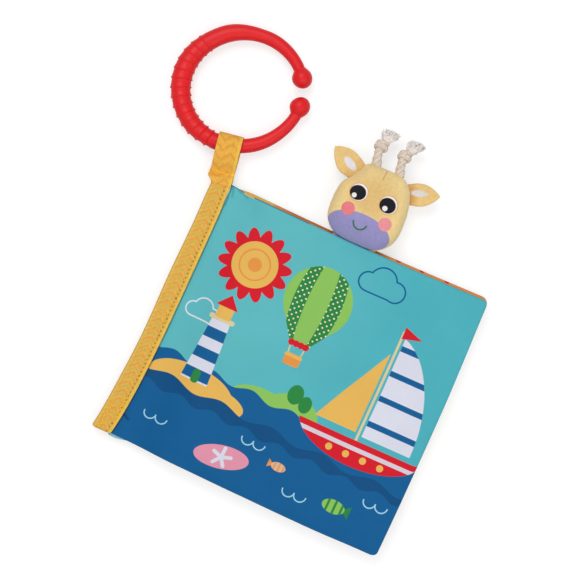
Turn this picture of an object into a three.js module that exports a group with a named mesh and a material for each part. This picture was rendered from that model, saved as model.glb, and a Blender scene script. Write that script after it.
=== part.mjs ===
// A crinkle cloth book for babies: four padded cloth leaves bound in a folded spine tape, a C-shaped
// teething ring in a tape loop, and a stuffed giraffe head that peeks over the top edge.
// Millimetres, +Z up. The book lies closed on its back cover. The origin is the middle of the back
// cover's flat underside, +X runs from the spine to the free edge and +Y up the spine to the ring.
import * as THREE from 'three';
import { mergeVertices } from 'three/addons/utils/BufferGeometryUtils.js';

// Clearances
const MERGE_DISTANCE = 1e-4;   // points closer than this are one
const TINY_SHARE = 1e-9;       // so that a row at the seam keeps its side
const SEAT_GAP = 0.3;          // between two pieces that touch on the real book
const LEAF_GAP = 0.35;         // air between two closed leaves

// Leaves
const LEAF_WIDTH = 156;        // from the spine tape to the free edge
const LEAF_HEIGHT = 152;       // of the front cover and the leaf under it
const LOWER_LEAF_EXTRA = 1;    // the two lower leaves are this much taller
const LOWER_LEAF_RISE = 1.2;   // and sit this much further up the spine
const LEAF_COUNT = 4;          // two covers and the leaves between them
const CORNER_RADIUS = 3.2;
const SIDE_DRAW_IN = 1.2;      // how far a sewn side pulls in between its corners
const FABRIC = 0.4;            // one layer of printed polyester
const COVER_THICKNESS = 4.0;   // at the crown
const INNER_THICKNESS = 2.6;
const SEAM_THICKNESS = 1.6;    // at the sewn edge
const BOUND_THICKNESS = 1.1;   // pressed flat where the spine tape holds the leaf
const RIM_REACH = 16;          // from the seam to the full crown
const SPINE_RAMP = 30;         // from the tape to the full crown
const DRAW_IN_POWER = 8;       // how closely the free side's draw-in keeps to that side

// Fillings of the leaves
const FILM = 0.2;              // crackling film
const FILM_CREASE = 0.25;      // height of its creases
const FILM_CREASE_PITCH = 19;
const FILM_STEPS = 22;         // faces of the film from the spine to the free edge
const FILM_ROWS = 6;           // and up the spine
const WADDING = 1.0;
const WADDING_STEPS = 4;
const WADDING_ROWS = 2;
const FILL_INSET = 9;          // from the seam to the edge of film and wadding

// Spine tape
const TAPE_WIDTH = 11.6;       // how far it reaches over the leaves on each side
const TAPE = 0.8;
const TAPE_BOTTOM = 1.6;       // height of the tape above the table
const TAPE_OVERHANG = 3.2;     // past the top of the front cover, where it takes the loop
const TAPE_FOOT = 0.6;         // past the bottom of the front cover
const HINGE_GAP = 0.4;         // from the tape to the moving part of a leaf
const BOUND_SHORTFALL = 1;     // the bound edges end this far inside the leaves' ends

// Hanging loop
const LOOP_WIDTH = 13.7;
const LOOP_TAPE = 0.6;
const LOOP_SHIFT = 1.7;        // it is sewn on this far left of the spine tape's middle
const LOOP_LEAN = 10;          // degrees to the left, as it lies in use
const LOOP_NECK = 7.5;         // from its fold at the spine to the eye that holds the ring
const LOOP_SQUARENESS = 2.5;   // exponent of the eye's outline
const EYE_STEPS = 26;

// Teething ring, a slight oval that opens near one end of its long axis
const RING_BORE_LONG = 29.4;   // from the ring's centre to the inside of the tube, along that axis
const RING_BORE_SHORT = 27.3;  // and across it
const RING_TURN = 32;          // degrees from +X to the long axis
const RING_THICK = 5.7;        // tube half width where it is widest, at its left side
const RING_SHOULDER = 4.9;     // where the ribs begin
const RING_LOWER = 5.2;        // half way along the ribs
const RING_LOOP = 4.6;         // where the ribs end at the loop
const RING_SLIM = 4.0;         // just right of the loop
const RING_TOP = 3.75;         // at the side away from the loop
const RING_TIP = 3.1;          // just before a ball
const RING_FLATNESS_SHARE = 0.84; // height over width of the ribbed side
const BALL_RADIUS = 5.6;
const BALL_SPREAD = 0.6;       // the balls stand out from the tube's centre line by this
const BALL_EASE_SHARE = 4;     // ball radii over which the tube turns round before a ball
const RIB_HEIGHT = 0.45;
const RIB_COUNT = 14;
const RIB_STEPS = 4;           // sections of the tube for each rib
const RIB_FIRST_SHARE = 0.5;   // height of the first rib over that of the last
const RIB_FIRST = 150;         // degrees round the ring
const RIB_LAST = 263;
const MOUTH_LOW = 7;           // degrees of the two ball centres
const MOUTH_HIGH = 35;
const RING_SIDES = 12;
const UPPER_ARM_STEPS = 9;     // sections from the upper ball to the ribs
const LOWER_ARM_STEPS = 8;     // and from the ribs to the lower ball
const RING_CLEARANCE = 0.35;   // all round the ribs inside the loop's eye

// Giraffe head
const HEAD_X = -3.4;
const HEAD_WIDTH = 42.2;
const HEAD_HEIGHT = 43.9;
const HEAD_CROWN_SQUARENESS = 2.6; // exponent of the outline above its middle
const HEAD_CHIN_SQUARENESS = 4.2;  // and below it
const HEAD_TAPER_SHARE = 0.03; // the cheeks are wider than the forehead by this share
const HEAD_FULLNESS_POWER = 0.86; // under 1 for a plumper section than an ellipse
const HEAD_FRONT = 14;         // bulge in front of the seam
const HEAD_BACK = 11;          // bulge behind it, down to the table
const HEAD_FLAT = 0.5;         // depth of the flat on which the back of the head rests
const HEAD_CLEARANCE = 1;      // from the front cover's edge to the chin
const HEAD_FABRIC = 0.8;
const HEAD_SIDES = 28;
const HEAD_STEPS = 7;          // sections from the seam to the crown

const EAR_LENGTH = 15;
const EAR_BASE = 5.4;          // half width at the head
const EAR_WIDEST = 6.2;
const EAR_WIDEST_SHARE = 0.42; // of the way from its root to its tip, where it is widest
const EAR_TAPER_POWER = 1.8;   // over 1 for sides that curve in to the tip
const EAR_THICKNESS = 3.2;
const EAR_SQUARENESS = 1.5;    // under 2 for a lens-shaped section
const EAR_LEFT_RISE = 29;      // degrees above the level
const EAR_RIGHT_RISE = 20;
const EAR_HEIGHT_SHARE = 0.66; // of the half height of the head, from its middle to the ear's root
const EAR_CLEARANCE = 0.8;     // from the head's seam to the ear's root
const EAR_THINNING_SHARE = 0.625; // the last part, over which it thins
const EAR_ROOT_SHARE = 0.11;   // the first part, over which it widens from the seam
const EAR_BLUNT_SHARE = 0.15;  // how blunt it starts
const EAR_SIDES = 14;
const EAR_STEPS = 10;
const EAR_STEP_POWER = 1.1;     // over 1 for closer sections near its root

const HORN_SPREAD = 14;        // between the two horns' roots
const HORN_SHIFT = 0.9;        // both horns sit this far right of the head's middle
const HORN_LENGTH = 20.5;
const HORN_CORD = 2.5;         // half thickness of the twisted cord
const HORN_KNOT = 3.8;
const HORN_NECK = 2.1;
const HORN_TUFT = 4.5;
const HORN_KNOT_SHARE = 0.52;  // of the way from root to tip
const HORN_KNOT_SPAN_SHARE = 0.13;
const HORN_TUFT_SHARE = 0.7;   // where the fraying starts
const HORN_STRAND = 0.3;       // depth of the grooves between the strands
const HORN_STRANDS = 3;
const HORN_TWIST = 1.3;        // turns of the strands from root to tip
const HORN_BOW = 1.5;          // how far the cord bends to the left at the knot
const HORN_TIP_LEAN = 2.2;     // how far the tuft stands to the right of the root
const HORN_SIDES = 12;
const HORN_STEPS = 18;

const NECK_WIDTH = 16;
const NECK_RIBBON = 0.4;
const NECK_TUCK = 3;           // how far the ribbon reaches in between the leaves

// Heights and places that follow from the sizes above
const HINGE_X = -LEAF_WIDTH / 2;
const LOWER_LEAF_HEIGHT = LEAF_HEIGHT + LOWER_LEAF_EXTRA;
const COVER_TOP = LEAF_HEIGHT / 2;
const COVER_FOOT = -LEAF_HEIGHT / 2;
const TAPE_TOP_Y = COVER_TOP + TAPE_OVERHANG;
const TAPE_FOOT_Y = COVER_FOOT - TAPE_FOOT;
const BOUND_PITCH = BOUND_THICKNESS + SEAT_GAP;
const BOUND_FIRST = TAPE_BOTTOM + TAPE + SEAT_GAP + BOUND_THICKNESS / 2;
const BACK_MID = COVER_THICKNESS / 2;
const LEAF_2_MID = COVER_THICKNESS + LEAF_GAP + INNER_THICKNESS / 2;
const LEAF_1_MID = LEAF_2_MID + INNER_THICKNESS + LEAF_GAP;
const FRONT_MID = LEAF_1_MID + INNER_THICKNESS / 2 + LEAF_GAP + COVER_THICKNESS / 2;
const BOUND_LAST = BOUND_FIRST + (LEAF_COUNT - 1) * BOUND_PITCH;
const TAPE_TOP = BOUND_LAST + BOUND_THICKNESS / 2 + SEAT_GAP + TAPE;
const TAPE_MID = (TAPE_BOTTOM + TAPE_TOP) / 2;
const TAPE_X = HINGE_X - TAPE_WIDTH / 2;
const KINK_Y = TAPE_TOP_Y + SEAT_GAP;
const EYE_HALF_HEIGHT = RING_THICK * RING_FLATNESS_SHARE + RIB_HEIGHT + RING_CLEARANCE;
const RING_Z = EYE_HALF_HEIGHT + LOOP_TAPE;
const HEAD_SEAM_Z = HEAD_BACK - HEAD_FLAT;
const CHIN_Y = COVER_TOP - SIDE_DRAW_IN + HEAD_CLEARANCE;
const HEAD_Y = CHIN_Y + HEAD_HEIGHT / 2;

const COLOURS = {
  teal: 0x4bb3bd, orange: 0xe9a045, sky: 0x9fd3ea, cream: 0xf3ead2, yellow: 0xedb64b,
  red: 0xe23338, plush: 0xf1d28a, rope: 0xe3d5c4, film: 0xdfe6ea, wadding: 0xf4f4f2,
};

function matte(colour, roughness = 0.85) {
  return new THREE.MeshStandardMaterial({ color: colour, roughness, metalness: 0 });
}

const MATERIALS = {
  cover: matte(COLOURS.teal, 0.7),
  orangePage: matte(COLOURS.orange, 0.7),
  skyPage: matte(COLOURS.sky, 0.7),
  creamPage: matte(COLOURS.cream, 0.7),
  bound: matte(COLOURS.cream),
  tape: matte(COLOURS.yellow),
  ring: matte(COLOURS.red, 0.35),
  plush: matte(COLOURS.plush, 0.95),
  rope: matte(COLOURS.rope, 0.95),
  film: matte(COLOURS.film, 0.2),
  wadding: matte(COLOURS.wadding, 1),
};

function piece(name, geometry, material) {
  const mesh = new THREE.Mesh(geometry, material);
  mesh.name = name;
  return mesh;
}

const mix = (a, b, share) => a + (b - a) * share;
const clampShare = (x) => Math.min(1, Math.max(0, x));
const easeInOut = (x) => (1 - Math.cos(Math.PI * clampShare(x))) / 2;
const quarterRound = (x) => Math.sqrt(1 - (1 - clampShare(x)) ** 2);
const signedPower = (x, power) => Math.sign(x) * Math.abs(x) ** power;
const evenly = (count) => Array.from({ length: count + 1 }, (_, i) => i / count);
const radians = THREE.MathUtils.degToRad;

// A closed geometry from a list of points and a list of triangles.
function closedSurface(points, triangles) {
  const geometry = new THREE.BufferGeometry();
  const numbers = points.flatMap((point) => [point.x, point.y, point.z]);
  geometry.setAttribute('position', new THREE.Float32BufferAttribute(numbers, 3));
  geometry.setIndex(triangles.flat());
  const merged = mergeVertices(geometry, MERGE_DISTANCE);
  merged.computeVertexNormals();
  return merged;
}

// A sheet between an upper and a lower surface, both functions of u and v from 0 to 1.
function sheet(uStations, vStations, upper, lower) {
  const nu = uStations.length;
  const nv = vStations.length;
  const points = [];
  for (const surface of [upper, lower]) {
    for (const u of uStations) {
      for (const v of vStations) points.push(surface(u, v));
    }
  }
  const at = (side, i, j) => side * nu * nv + i * nv + j;
  const triangles = [];
  const quad = (a, b, c, d) => triangles.push([a, b, c], [a, c, d]);
  for (let i = 0; i < nu - 1; i += 1) {
    for (let j = 0; j < nv - 1; j += 1) {
      quad(at(0, i, j), at(0, i + 1, j), at(0, i + 1, j + 1), at(0, i, j + 1));
      quad(at(1, i, j), at(1, i, j + 1), at(1, i + 1, j + 1), at(1, i + 1, j));
    }
  }
  for (let i = 0; i < nu - 1; i += 1) {
    quad(at(0, i, 0), at(1, i, 0), at(1, i + 1, 0), at(0, i + 1, 0));
    quad(at(0, i, nv - 1), at(0, i + 1, nv - 1), at(1, i + 1, nv - 1), at(1, i, nv - 1));
  }
  for (let j = 0; j < nv - 1; j += 1) {
    quad(at(0, 0, j), at(0, 0, j + 1), at(1, 0, j + 1), at(1, 0, j));
    quad(at(0, nu - 1, j), at(1, nu - 1, j), at(1, nu - 1, j + 1), at(0, nu - 1, j + 1));
  }
  return closedSurface(points, triangles);
}

// The triangles of a skin over rows of points; every row is a closed ring of the same length.
function ringWalls(rowCount, sides) {
  const triangles = [];
  for (let i = 0; i < rowCount - 1; i += 1) {
    for (let j = 0; j < sides; j += 1) {
      const next = (j + 1) % sides;
      const a = i * sides + j;
      const b = i * sides + next;
      const c = (i + 1) * sides + next;
      const d = (i + 1) * sides + j;
      triangles.push([a, b, c], [a, c, d]);
    }
  }
  return triangles;
}

// A closed skin over rows of ring points, with a pole at each end.
function loft(rows, firstPole, lastPole) {
  const sides = rows[0].length;
  const points = [...rows.flat(), firstPole, lastPole];
  const first = points.length - 2;
  const last = points.length - 1;
  const end = (rows.length - 1) * sides;
  const triangles = ringWalls(rows.length, sides);
  for (let j = 0; j < sides; j += 1) {
    const next = (j + 1) % sides;
    triangles.push([first, next, j], [last, end + j, end + next]);
  }
  return closedSurface(points, triangles);
}

// A row of points round a section, from the section's centre and two half axes.
function sectionRow(sides, centre, acrossAxis, upAxis, roundness = 1) {
  const row = [];
  for (let j = 0; j < sides; j += 1) {
    const angle = (2 * Math.PI * j) / sides;
    const across = signedPower(Math.cos(angle), roundness);
    const up = signedPower(Math.sin(angle), roundness);
    row.push(centre.clone().addScaledVector(acrossAxis, across).addScaledVector(upAxis, up));
  }
  return row;
}

// Stations along and up a leaf as shares of its size, closer together at the seams
const ALONG_SHARES = [0, 0.035, 0.08, 0.13, 0.19, 0.36, 0.54, 0.72, 0.89, 0.945, 0.972, 0.988, 1];
const UP_SHARES = [0, 0.014, 0.045, 0.106, 0.26, 0.42, 0.58, 0.74, 0.894, 0.955, 0.986, 1];

// One leaf of the book, from the spine tape to its free edge. Level 0 is the back cover.
class Leaf {
  constructor(level, height, rise, thickness, midZ) {
    this.level = level;
    this.height = height;
    this.rise = rise;
    this.thickness = thickness;
    this.midZ = midZ;
  }

  boundZ() {
    return BOUND_FIRST + this.level * BOUND_PITCH;
  }

  // Half the leaf's height at a distance from the hinge line, with its corner and drawn-in side.
  halfHeight(distance) {
    const intoCorner = Math.max(0, distance - (LEAF_WIDTH - CORNER_RADIUS));
    const corner = CORNER_RADIUS - Math.sqrt(Math.max(0, CORNER_RADIUS ** 2 - intoCorner ** 2));
    const drawn = SIDE_DRAW_IN * Math.sin(Math.PI * clampShare(distance / LEAF_WIDTH));
    return this.height / 2 - corner - drawn;
  }

  // 0 at the sewn edge and 1 where the leaf is full.
  crown(distance, y) {
    const toSide = this.halfHeight(distance) - Math.abs(y);
    const toFree = LEAF_WIDTH - distance;
    return quarterRound(toSide / RIM_REACH) * quarterRound(toFree / RIM_REACH);
  }

  mid(distance) {
    return mix(this.boundZ(), this.midZ, easeInOut(distance / SPINE_RAMP));
  }

  half(distance, y) {
    const padded = mix(SEAM_THICKNESS, this.thickness, this.crown(distance, y));
    return mix(BOUND_THICKNESS, padded, easeInOut(distance / SPINE_RAMP)) / 2;
  }

  // A point of the leaf's upper (side 1) or lower (side -1) surface, or of a layer inset under it.
  surfacePoint(u, v, side, inset) {
    const flat = mix(HINGE_GAP, LEAF_WIDTH, u);
    const across = 2 * v - 1;
    const y = across * this.halfHeight(flat);
    const drawn = SIDE_DRAW_IN * (1 - across ** 2) * u ** DRAW_IN_POWER;
    const z = this.mid(flat) + side * (this.half(flat, y) - inset);
    return new THREE.Vector3(HINGE_X + flat - drawn, this.rise + y, z);
  }

  panel(side) {
    const outer = (u, v) => this.surfacePoint(u, v, side, 0);
    const inner = (u, v) => this.surfacePoint(u, v, side, FABRIC);
    return side > 0
      ? sheet(ALONG_SHARES, UP_SHARES, outer, inner)
      : sheet(ALONG_SHARES, UP_SHARES, inner, outer);
  }

  // A loose layer inside the leaf, from one height to another about its middle.
  layer(low, high, crease, uStations, vStations) {
    const surface = (offset) => (u, v) => {
      const distance = mix(SPINE_RAMP, LEAF_WIDTH - FILL_INSET, u);
      const y = (2 * v - 1) * (this.height / 2 - FILL_INSET);
      const wave = crease * Math.sin((2 * Math.PI * (distance + y / 2)) / FILM_CREASE_PITCH);
      return new THREE.Vector3(HINGE_X + distance, this.rise + y, this.mid(distance) + offset + wave);
    };
    return sheet(uStations, vStations, surface(high), surface(low));
  }

  film(midOffset) {
    const [bottom, top] = [midOffset - FILM / 2, midOffset + FILM / 2];
    return this.layer(bottom, top, FILM_CREASE, evenly(FILM_STEPS), evenly(FILM_ROWS));
  }

  wadding(midOffset) {
    const [bottom, top] = [midOffset - WADDING / 2, midOffset + WADDING / 2];
    return this.layer(bottom, top, 0, evenly(WADDING_STEPS), evenly(WADDING_ROWS));
  }

  boundEdge() {
    const width = TAPE_WIDTH - TAPE - SEAT_GAP;
    const length = this.height - 2 * BOUND_SHORTFALL;
    const geometry = new THREE.BoxGeometry(width, length, BOUND_THICKNESS);
    return geometry.translate(HINGE_X - width / 2, this.rise, this.boundZ());
  }
}

const backCover = new Leaf(0, LOWER_LEAF_HEIGHT, LOWER_LEAF_RISE, COVER_THICKNESS, BACK_MID);
const innerLeaf2 = new Leaf(1, LOWER_LEAF_HEIGHT, LOWER_LEAF_RISE, INNER_THICKNESS, LEAF_2_MID);
const innerLeaf1 = new Leaf(2, LEAF_HEIGHT, 0, INNER_THICKNESS, LEAF_1_MID);
const frontCover = new Leaf(LEAF_COUNT - 1, LEAF_HEIGHT, 0, COVER_THICKNESS, FRONT_MID);

function coverPieces(name, leaf, outerSide) {
  const filmOffset = -outerSide * (WADDING / 2 + SEAT_GAP + FILM_CREASE) / 2;
  const waddingOffset = filmOffset + outerSide * (WADDING / 2 + SEAT_GAP + FILM_CREASE + FILM / 2);
  return [
    piece(`${name}_outer_panel`, leaf.panel(outerSide), MATERIALS.cover),
    piece(`${name}_inner_panel`, leaf.panel(-outerSide), MATERIALS.creamPage),
    piece(`${name}_wadding`, leaf.wadding(waddingOffset), MATERIALS.wadding),
    piece(`${name}_crinkle_film`, leaf.film(filmOffset), MATERIALS.film),
  ];
}

function innerLeafPieces(name, leaf, frontMaterial, backMaterial) {
  return [
    piece(`${name}_front_panel`, leaf.panel(1), frontMaterial),
    piece(`${name}_back_panel`, leaf.panel(-1), backMaterial),
    piece(`${name}_crinkle_film`, leaf.film(0), MATERIALS.film),
  ];
}

// The tape is folded round the bound edges of all four leaves.
function spineTape() {
  const profile = new THREE.Shape([
    new THREE.Vector2(HINGE_X, TAPE_BOTTOM),
    new THREE.Vector2(HINGE_X, TAPE_BOTTOM + TAPE),
    new THREE.Vector2(HINGE_X - TAPE_WIDTH + TAPE, TAPE_BOTTOM + TAPE),
    new THREE.Vector2(HINGE_X - TAPE_WIDTH + TAPE, TAPE_TOP - TAPE),
    new THREE.Vector2(HINGE_X, TAPE_TOP - TAPE),
    new THREE.Vector2(HINGE_X, TAPE_TOP),
    new THREE.Vector2(HINGE_X - TAPE_WIDTH + TAPE, TAPE_TOP),
    new THREE.Vector2(HINGE_X - TAPE_WIDTH, TAPE_TOP - TAPE),
    new THREE.Vector2(HINGE_X - TAPE_WIDTH, TAPE_BOTTOM + TAPE),
    new THREE.Vector2(HINGE_X - TAPE_WIDTH + TAPE, TAPE_BOTTOM),
  ]);
  const length = TAPE_TOP_Y - TAPE_FOOT_Y;
  const geometry = new THREE.ExtrudeGeometry(profile, { depth: length, bevelEnabled: false });
  return geometry.rotateX(Math.PI / 2).translate(0, TAPE_TOP_Y, 0);
}

function spinePieces() {
  return [
    piece('spine_binding_tape', spineTape(), MATERIALS.tape),
    piece('back_cover_bound_edge', backCover.boundEdge(), MATERIALS.bound),
    piece('inner_leaf_2_bound_edge', innerLeaf2.boundEdge(), MATERIALS.bound),
    piece('inner_leaf_1_bound_edge', innerLeaf1.boundEdge(), MATERIALS.bound),
    piece('front_cover_bound_edge', frontCover.boundEdge(), MATERIALS.bound),
  ];
}

// The ring's place, seen from the fold where the loop leaves the spine
const LEAN = radians(LOOP_LEAN);
const KINK_X = TAPE_X - LOOP_SHIFT;
const RIBBED_BORE = RING_BORE_SHORT - RIB_HEIGHT;
const RIBBED_RIM = RING_BORE_LONG + 2 * RING_THICK + RIB_HEIGHT;
const RING_REACH = LOOP_NECK + RING_CLEARANCE + RIBBED_RIM;
const RING_X = KINK_X - RING_REACH * Math.sin(LEAN);
const RING_Y = KINK_Y + RING_REACH * Math.cos(LEAN);
const EYE_FAR = RING_REACH - Math.sqrt(RIBBED_BORE ** 2 - (LOOP_WIDTH / 2) ** 2) + RING_CLEARANCE;
const EYE_CENTRE = (EYE_FAR + LOOP_NECK) / 2;
const EYE_HALF_LENGTH = (EYE_FAR - LOOP_NECK) / 2;

// One side of the band seen edge on: a flat tail and an eye that goes round the tube.
function bandLine(grow) {
  const tail = SEAT_GAP / 2 + grow;
  const line = [new THREE.Vector2(0, tail)];
  for (const share of evenly(EYE_STEPS)) {
    const angle = Math.PI * (1 - 2 * share);
    const s = EYE_CENTRE + (EYE_HALF_LENGTH + grow) * signedPower(Math.cos(angle), 2 / LOOP_SQUARENESS);
    const z = (EYE_HALF_HEIGHT + grow) * signedPower(Math.sin(angle), 2 / LOOP_SQUARENESS);
    if (s > EYE_CENTRE || Math.abs(z) > tail) line.push(new THREE.Vector2(s, z));
  }
  line.push(new THREE.Vector2(0, -tail));
  return line;
}

function hangingLoop() {
  const profile = new THREE.Shape([...bandLine(LOOP_TAPE), ...bandLine(0).reverse()].reverse());
  const geometry = new THREE.ExtrudeGeometry(profile, { depth: LOOP_WIDTH, bevelEnabled: false });
  const position = geometry.attributes.position;
  for (let i = 0; i < position.count; i += 1) {
    const across = position.getZ(i) - LOOP_WIDTH / 2;
    const along = position.getX(i);
    const s = along === 0 ? -across * Math.tan(LEAN) : along;
    const z = position.getY(i) + mix(TAPE_MID, RING_Z, clampShare(along / (LOOP_NECK - LOOP_TAPE)));
    const x = KINK_X + across * Math.cos(LEAN) - s * Math.sin(LEAN);
    position.setXYZ(i, x, KINK_Y + across * Math.sin(LEAN) + s * Math.cos(LEAN), z);
  }
  return geometry;
}

// From the ring's centre to the middle of the tube near the balls
const TIP_REACH = RING_BORE_LONG + RING_TIP;

// The tube's half width along the ring, by degrees from the upper ball round to the lower one
const MOUTH_END = 360 + MOUTH_LOW;
const TUBE_KNOTS = [
  [MOUTH_HIGH, RING_TIP], [90, RING_TOP], [135, RING_SHOULDER], [180, RING_THICK],
  [235, RING_LOWER], [RIB_LAST, RING_LOOP], [285, RING_SLIM], [MOUTH_END, RING_TIP],
];

function tubeHalfWidth(degrees) {
  const last = TUBE_KNOTS.length - 1;
  const after = TUBE_KNOTS.findIndex(([place]) => place > degrees);
  if (after === 0) return TUBE_KNOTS[0][1];
  if (after < 0) return TUBE_KNOTS[last][1];
  const [placeA, widthA] = TUBE_KNOTS[after - 1];
  const [placeB, widthB] = TUBE_KNOTS[after];
  return mix(widthA, widthB, easeInOut((degrees - placeA) / (placeB - placeA)));
}

// From the ring's centre to the inside of its tube.
function ringBore(degrees) {
  const angle = radians(degrees - RING_TURN);
  return 1 / Math.hypot(Math.cos(angle) / RING_BORE_LONG, Math.sin(angle) / RING_BORE_SHORT);
}

// Ribs stand up from the tube and grow towards the loop.
function ribHeight(degrees) {
  const share = (degrees - RIB_FIRST) / (RIB_LAST - RIB_FIRST);
  if (share <= 0 || share >= 1) return 0;
  const wave = Math.sin(Math.PI * RIB_COUNT * share) ** 2;
  return RIB_HEIGHT * mix(RIB_FIRST_SHARE, 1, share) * wave;
}

// Sections of a ball, as shares of its radius from its middle towards the open end
const BALL_SHARES = [0.98, 0.88, 0.66, 0.35, 0, -0.35, -0.6];

function ringStations() {
  const ballTurn = THREE.MathUtils.radToDeg(BALL_RADIUS / TIP_REACH);
  const first = MOUTH_HIGH;
  const last = MOUTH_END;
  const ribs = evenly(RIB_COUNT * RIB_STEPS).map((share) => mix(RIB_FIRST, RIB_LAST, share));
  const upperArm = evenly(UPPER_ARM_STEPS).slice(0, -1);
  const beforeRibs = upperArm.map((share) => mix(first + ballTurn, RIB_FIRST, share));
  const afterRibs = evenly(LOWER_ARM_STEPS).slice(1).map((share) => mix(RIB_LAST, last - ballTurn, share));
  const ball = BALL_SHARES.map((share) => share * ballTurn);
  const firstBall = ball.map((turn) => first - turn);
  const lastBall = ball.map((turn) => last + turn).reverse();
  return [...firstBall, ...beforeRibs, ...ribs, ...afterRibs, ...lastBall];
}

// Width of the section at a place on the ring: the tube, or the ball where that is wider.
function ringSection(degrees) {
  const tube = tubeHalfWidth(degrees) + ribHeight(degrees);
  const toFirst = Math.abs(degrees - MOUTH_HIGH);
  const toLast = Math.abs(degrees - MOUTH_END);
  const along = radians(Math.min(toFirst, toLast)) * TIP_REACH;
  const ball = Math.sqrt(Math.max(0, BALL_RADIUS ** 2 - along ** 2));
  const beyond = degrees < MOUTH_HIGH || degrees > MOUTH_END;
  const near = clampShare(1 - along / (BALL_EASE_SHARE * BALL_RADIUS));
  const roundness = clampShare(near + (RING_THICK - tube) / RING_THICK);
  return {
    half: beyond ? ball : Math.max(tube, ball),
    flatness: ball > tube || beyond ? 1 : mix(RING_FLATNESS_SHARE, 1, roundness),
    radius: ringBore(degrees) + tubeHalfWidth(degrees) + BALL_SPREAD * easeInOut(near),
  };
}

function ringPoint(degrees, radius) {
  const angle = radians(degrees);
  return new THREE.Vector3(RING_X + radius * Math.cos(angle), RING_Y + radius * Math.sin(angle), RING_Z);
}

function teethingRing() {
  const up = new THREE.Vector3(0, 0, 1);
  const stations = ringStations();
  const rows = stations.map((degrees) => {
    const { half, flatness, radius } = ringSection(degrees);
    const outward = new THREE.Vector3(Math.cos(radians(degrees)), Math.sin(radians(degrees)), 0);
    const centre = ringPoint(degrees, radius);
    const upAxis = up.clone().multiplyScalar(half * flatness);
    return sectionRow(RING_SIDES, centre, upAxis, outward.multiplyScalar(half));
  });
  const ballTurn = THREE.MathUtils.radToDeg(BALL_RADIUS / TIP_REACH);
  const poleAt = (degrees) => ringPoint(degrees, ringBore(degrees) + RING_TIP + BALL_SPREAD);
  const firstPole = poleAt(MOUTH_HIGH - ballTurn);
  const lastPole = poleAt(MOUTH_END + ballTurn);
  return loft(rows, firstPole, lastPole);
}

// A point on the head's outline, by direction from its middle, less an inset.
function headOutline(angle, inset = 0) {
  const squareness = Math.sin(angle) > 0 ? HEAD_CROWN_SQUARENESS : HEAD_CHIN_SQUARENESS;
  const rise = signedPower(Math.sin(angle), 2 / squareness);
  const spread = signedPower(Math.cos(angle), 2 / squareness);
  const x = (HEAD_WIDTH / 2 - inset) * spread * (1 - HEAD_TAPER_SHARE * rise);
  return new THREE.Vector2(x, (HEAD_HEIGHT / 2 - inset) * rise);
}

// A ring of points round the head. Latitude is 0 at the seam and 1 or -1 at the crown of a side.
function headRow(latitude, inset, seamGap) {
  const angle = (Math.abs(latitude) * Math.PI) / 2;
  const share = Math.cos(angle) ** HEAD_FULLNESS_POWER;
  const depth = latitude < 0 ? HEAD_BACK : HEAD_FRONT;
  const bulge = (depth - inset) * Math.sin(angle) ** HEAD_FULLNESS_POWER;
  const z = HEAD_SEAM_Z + (latitude < 0 ? -1 : 1) * Math.max(bulge, seamGap);
  const row = [];
  for (let j = 0; j < HEAD_SIDES; j += 1) {
    const edge = headOutline((2 * Math.PI * (j + 0.5)) / HEAD_SIDES, inset);
    row.push(new THREE.Vector3(HEAD_X + edge.x * share, HEAD_Y + edge.y * share, Math.max(inset, z)));
  }
  return row;
}

function headPole(side, inset) {
  const z = side < 0 ? inset : HEAD_SEAM_Z + HEAD_FRONT - inset;
  return new THREE.Vector3(HEAD_X, HEAD_Y, z);
}

// Half of the head's plush skin, an open bowl on one side of the seam.
function headSkin(side) {
  const latitudes = evenly(HEAD_STEPS).slice(0, -1).map((share) => side * Math.max(share, TINY_SHARE));
  const outer = latitudes.map((latitude) => headRow(latitude, 0, SEAT_GAP / 2));
  const inner = latitudes.map((latitude) => headRow(latitude, HEAD_FABRIC, SEAT_GAP / 2));
  const rows = [...outer.reverse(), ...inner];
  return side < 0
    ? loft(rows, headPole(side, 0), headPole(side, HEAD_FABRIC))
    : loft(rows.reverse(), headPole(side, HEAD_FABRIC), headPole(side, 0));
}

function headFilling() {
  const inset = HEAD_FABRIC + SEAT_GAP;
  const latitudes = evenly(2 * HEAD_STEPS).slice(1, -1).map((share) => 2 * share - 1);
  const rows = latitudes.map((latitude) => headRow(latitude, inset, 0));
  return loft(rows, headPole(-1, inset), headPole(1, inset));
}

// The ear's frame: its root beside the head, its own direction and the direction across it.
function earFrame(side) {
  const rise = radians(side < 0 ? EAR_LEFT_RISE : EAR_RIGHT_RISE);
  const along = new THREE.Vector3(side * Math.cos(rise), Math.sin(rise), 0);
  const across = new THREE.Vector3(-Math.sin(rise) * side, Math.cos(rise), 0);
  const y = EAR_HEIGHT_SHARE * (HEAD_HEIGHT / 2);
  const spread = (1 - EAR_HEIGHT_SHARE ** HEAD_CROWN_SQUARENESS) ** (1 / HEAD_CROWN_SQUARENESS);
  const x = (HEAD_WIDTH / 2) * spread * (1 - HEAD_TAPER_SHARE * EAR_HEIGHT_SHARE);
  const root = new THREE.Vector3(HEAD_X + side * x, HEAD_Y + y, HEAD_SEAM_Z);
  return { along, across, root: root.addScaledVector(along, EAR_CLEARANCE) };
}

// Half width of the ear, as a share of the way from its root to its tip.
function earHalfWidth(share) {
  const swell = mix(EAR_BASE, EAR_WIDEST, easeInOut(share / EAR_WIDEST_SHARE));
  const toTip = clampShare((share - EAR_WIDEST_SHARE) / (1 - EAR_WIDEST_SHARE));
  const blunt = quarterRound(share / EAR_ROOT_SHARE + EAR_BLUNT_SHARE);
  return swell * (1 - toTip ** EAR_TAPER_POWER) * blunt;
}

function earHalfThickness(share) {
  const tip = quarterRound((1 - share) / EAR_THINNING_SHARE);
  return (EAR_THICKNESS / 2) * tip * quarterRound(share / EAR_ROOT_SHARE + EAR_BLUNT_SHARE);
}

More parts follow.
